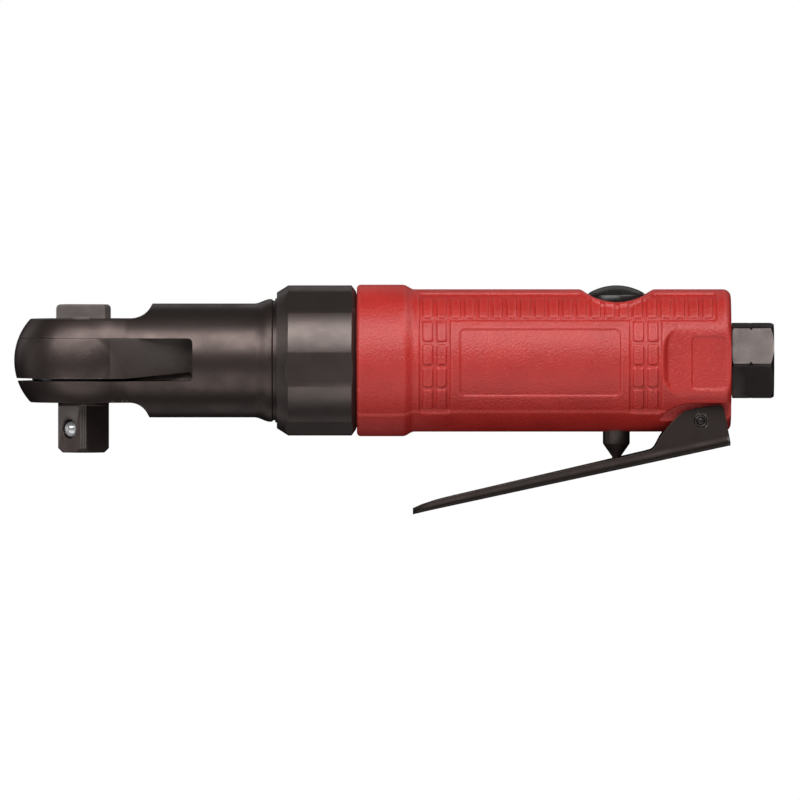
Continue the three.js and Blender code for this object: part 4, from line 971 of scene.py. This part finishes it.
def inlet_bushing():
    corner = HEX["flats"] / 2 / math.cos(math.pi / 6)
    edge = corner - HEX["sharp_edge"]
    start, end, notch, depth = HEX["start"], HEX["end"], HEX["notch"], HEX["depth"]
    hexagon = overlap(
        prism("x", polygon(HEX["flats"], 6, HEX["turn"]), start, end),
        turned("x", [
            (start, 0), (start, edge - 0.4), (start + 0.3, edge), (notch - depth, edge),
            (notch, corner - depth), (notch + depth, edge), (end - 0.8, edge), (end, corner - 1.28), (end, 0),
        ], 240),
    )
    radius, seal = SPIGOT["radius"], SPIGOT["seal"]
    spigot = turned("x", [
        (SPIGOT["from"], 0), (SPIGOT["from"], radius), (SPIGOT["seal_from"], radius),
        (SPIGOT["seal_from"], seal), (SPIGOT["seal_to"], seal), (SPIGOT["seal_to"], radius),
        (start + 0.45, radius), (start + 0.45, 0),
    ], 96)
    thread = []
    for i in range(THREAD["turns"]):
        at = THREAD["from"] + i * THREAD["pitch"]
        thread += [(at, THREAD["crest"]), (at + THREAD["pitch"] / 2, THREAD["root"])]
    bore = turned("x", [
        (138, 0), (138, THREAD["crest"]), *thread, (162.3, 5.6), (162.5, 5.7), (163.7, 6.9), (163.7, 0),
    ], 96)
    return cut(join(hexagon, spigot), bore)


def exhaust_deflector():
    low, high = span("exhaust_deflector")
    ring = tube("x", low[0], high[0], 12.1, 9.5)
    slots = [spun(box((high[0] - 2, 0, -0.7), (high[0] + OVER, 13.2, 0.7)), "x", 45 * i) for i in range(8)]
    return cut(ring, *slots)


piece("inlet_bushing_hex", inlet_bushing(), "housing", ["inlet_bushing"], BLACK_HEX, 25)
piece("exhaust_deflector_ring", exhaust_deflector(), "housing", ["exhaust_deflector"],
      SLOT_MATERIALS["aluminium"])

# -------------------------------------------------------------------- stage

CENTRE = Vector((0.07496, 0.0, 0.01243))
VIEW_WIDTH = 0.1895
LENS, SENSOR = 1000, 36
DISTANCE = VIEW_WIDTH * LENS / SENSOR
ELEVATION = math.radians(0.9)
FLOOR = {"below": 0.0002, "half": 40.0}


def floor():
    """A white, level floor that neither the metal nor the paint picks up, and that is clear from below."""
    low = CAD_BOX[0][2] - FLOOR["below"]
    wide = FLOOR["half"]
    mesh = bpy.data.meshes.new("floor")
    corners = [(-wide, -wide, low), (wide, -wide, low), (wide, wide, low), (-wide, wide, low)]
    mesh.from_pydata(corners, [], [(0, 1, 2, 3)])
    n = Nodes("floor_white")
    shade = n.noise(60.0, 2.0)
    under = n.add("ShaderNodeNewGeometry").outputs["Backfacing"]
    mesh.materials.append(n.set(
        Base_Color=n.mix(n.ramp(shade, 0.3, 0.7), (0.02, 0.02, 0.02, 1), (0.018, 0.018, 0.018, 1)),
        Roughness=0.95,
        Emission_Color=(1, 1, 1, 1), Emission_Strength=1.0, Specular_IOR_Level=0.0,
        Alpha=n.ramp(under, 0.0, 1.0, 1.0, 0.0),
    ))
    obj = bpy.data.objects.new("floor", mesh)
    bpy.context.collection.objects.link(obj)
    obj.visible_glossy = False
    obj.visible_diffuse = False
    obj.visible_shadow = False


def light(name, place, target, size, power, size_y=None, mirrored=True):
    data = bpy.data.lights.new(name, "AREA")
    data.shape = "RECTANGLE"
    data.size = size
    data.size_y = size_y or size
    data.energy = power
    obj = bpy.data.objects.new(name, data)
    obj.visible_glossy = mirrored
    obj.location = place
    obj.rotation_euler = (Vector(target) - Vector(place)).to_track_quat("-Z", "Y").to_euler()
    bpy.context.collection.objects.link(obj)


def camera():
    data = bpy.data.cameras.new("camera")
    data.lens = LENS
    data.sensor_width = SENSOR
    data.clip_start = 0.1
    data.clip_end = 200
    obj = bpy.data.objects.new("camera", data)
    obj.location = CENTRE + Vector((0, -DISTANCE * math.cos(ELEVATION), DISTANCE * math.sin(ELEVATION)))
    obj.rotation_euler = (CENTRE - obj.location).to_track_quat("-Z", "Y").to_euler()
    bpy.context.collection.objects.link(obj)
    bpy.context.scene.camera = obj


def world():
    sky = bpy.data.worlds.new("studio")
    sky.use_nodes = True
    sky.node_tree.nodes["Background"].inputs["Color"].default_value = (1, 1, 1, 1)
    sky.node_tree.nodes["Background"].inputs["Strength"].default_value = 1.0
    sky.cycles_visibility.glossy = False
    sky.cycles_visibility.diffuse = False
    bpy.context.scene.world = sky
    bpy.context.scene.view_settings.view_transform = "Standard"


floor()
camera()
world()
light("top_softbox", (-0.24, -0.5, 0.46), (-0.24, 0, 0.02), 0.92, 6.0, 0.42)
light("right_card", (0.42, -0.22, 0.5), (0, 0, 0.02), 0.45, 2.0, 0.3)
light("front_fill", (0.1, -1.1, -0.1), CENTRE, 1.6, 5.8, 0.9, mirrored=False)
light("low_bounce", (0.05, -0.42, -0.36), CENTRE, 1.4, 1.8, 0.42)
light("under_back", (0.05, 0.25, -0.6), CENTRE, 1.2, 0.5, 0.4)
light("left_strip", (-0.9, 0.05, 0.0), (0, 0, 0.02), 0.3, 0.5, 0.6)
light("back_left", (-0.6, 0.5, 0.3), CENTRE, 0.5, 0.3)
light("back_fill", (0.1, 0.9, 0.35), CENTRE, 1.2, 4.5, 0.8, mirrored=False)
light("back_card", (0.1, 0.7, 0.5), CENTRE, 1.0, 0.4, 0.3)
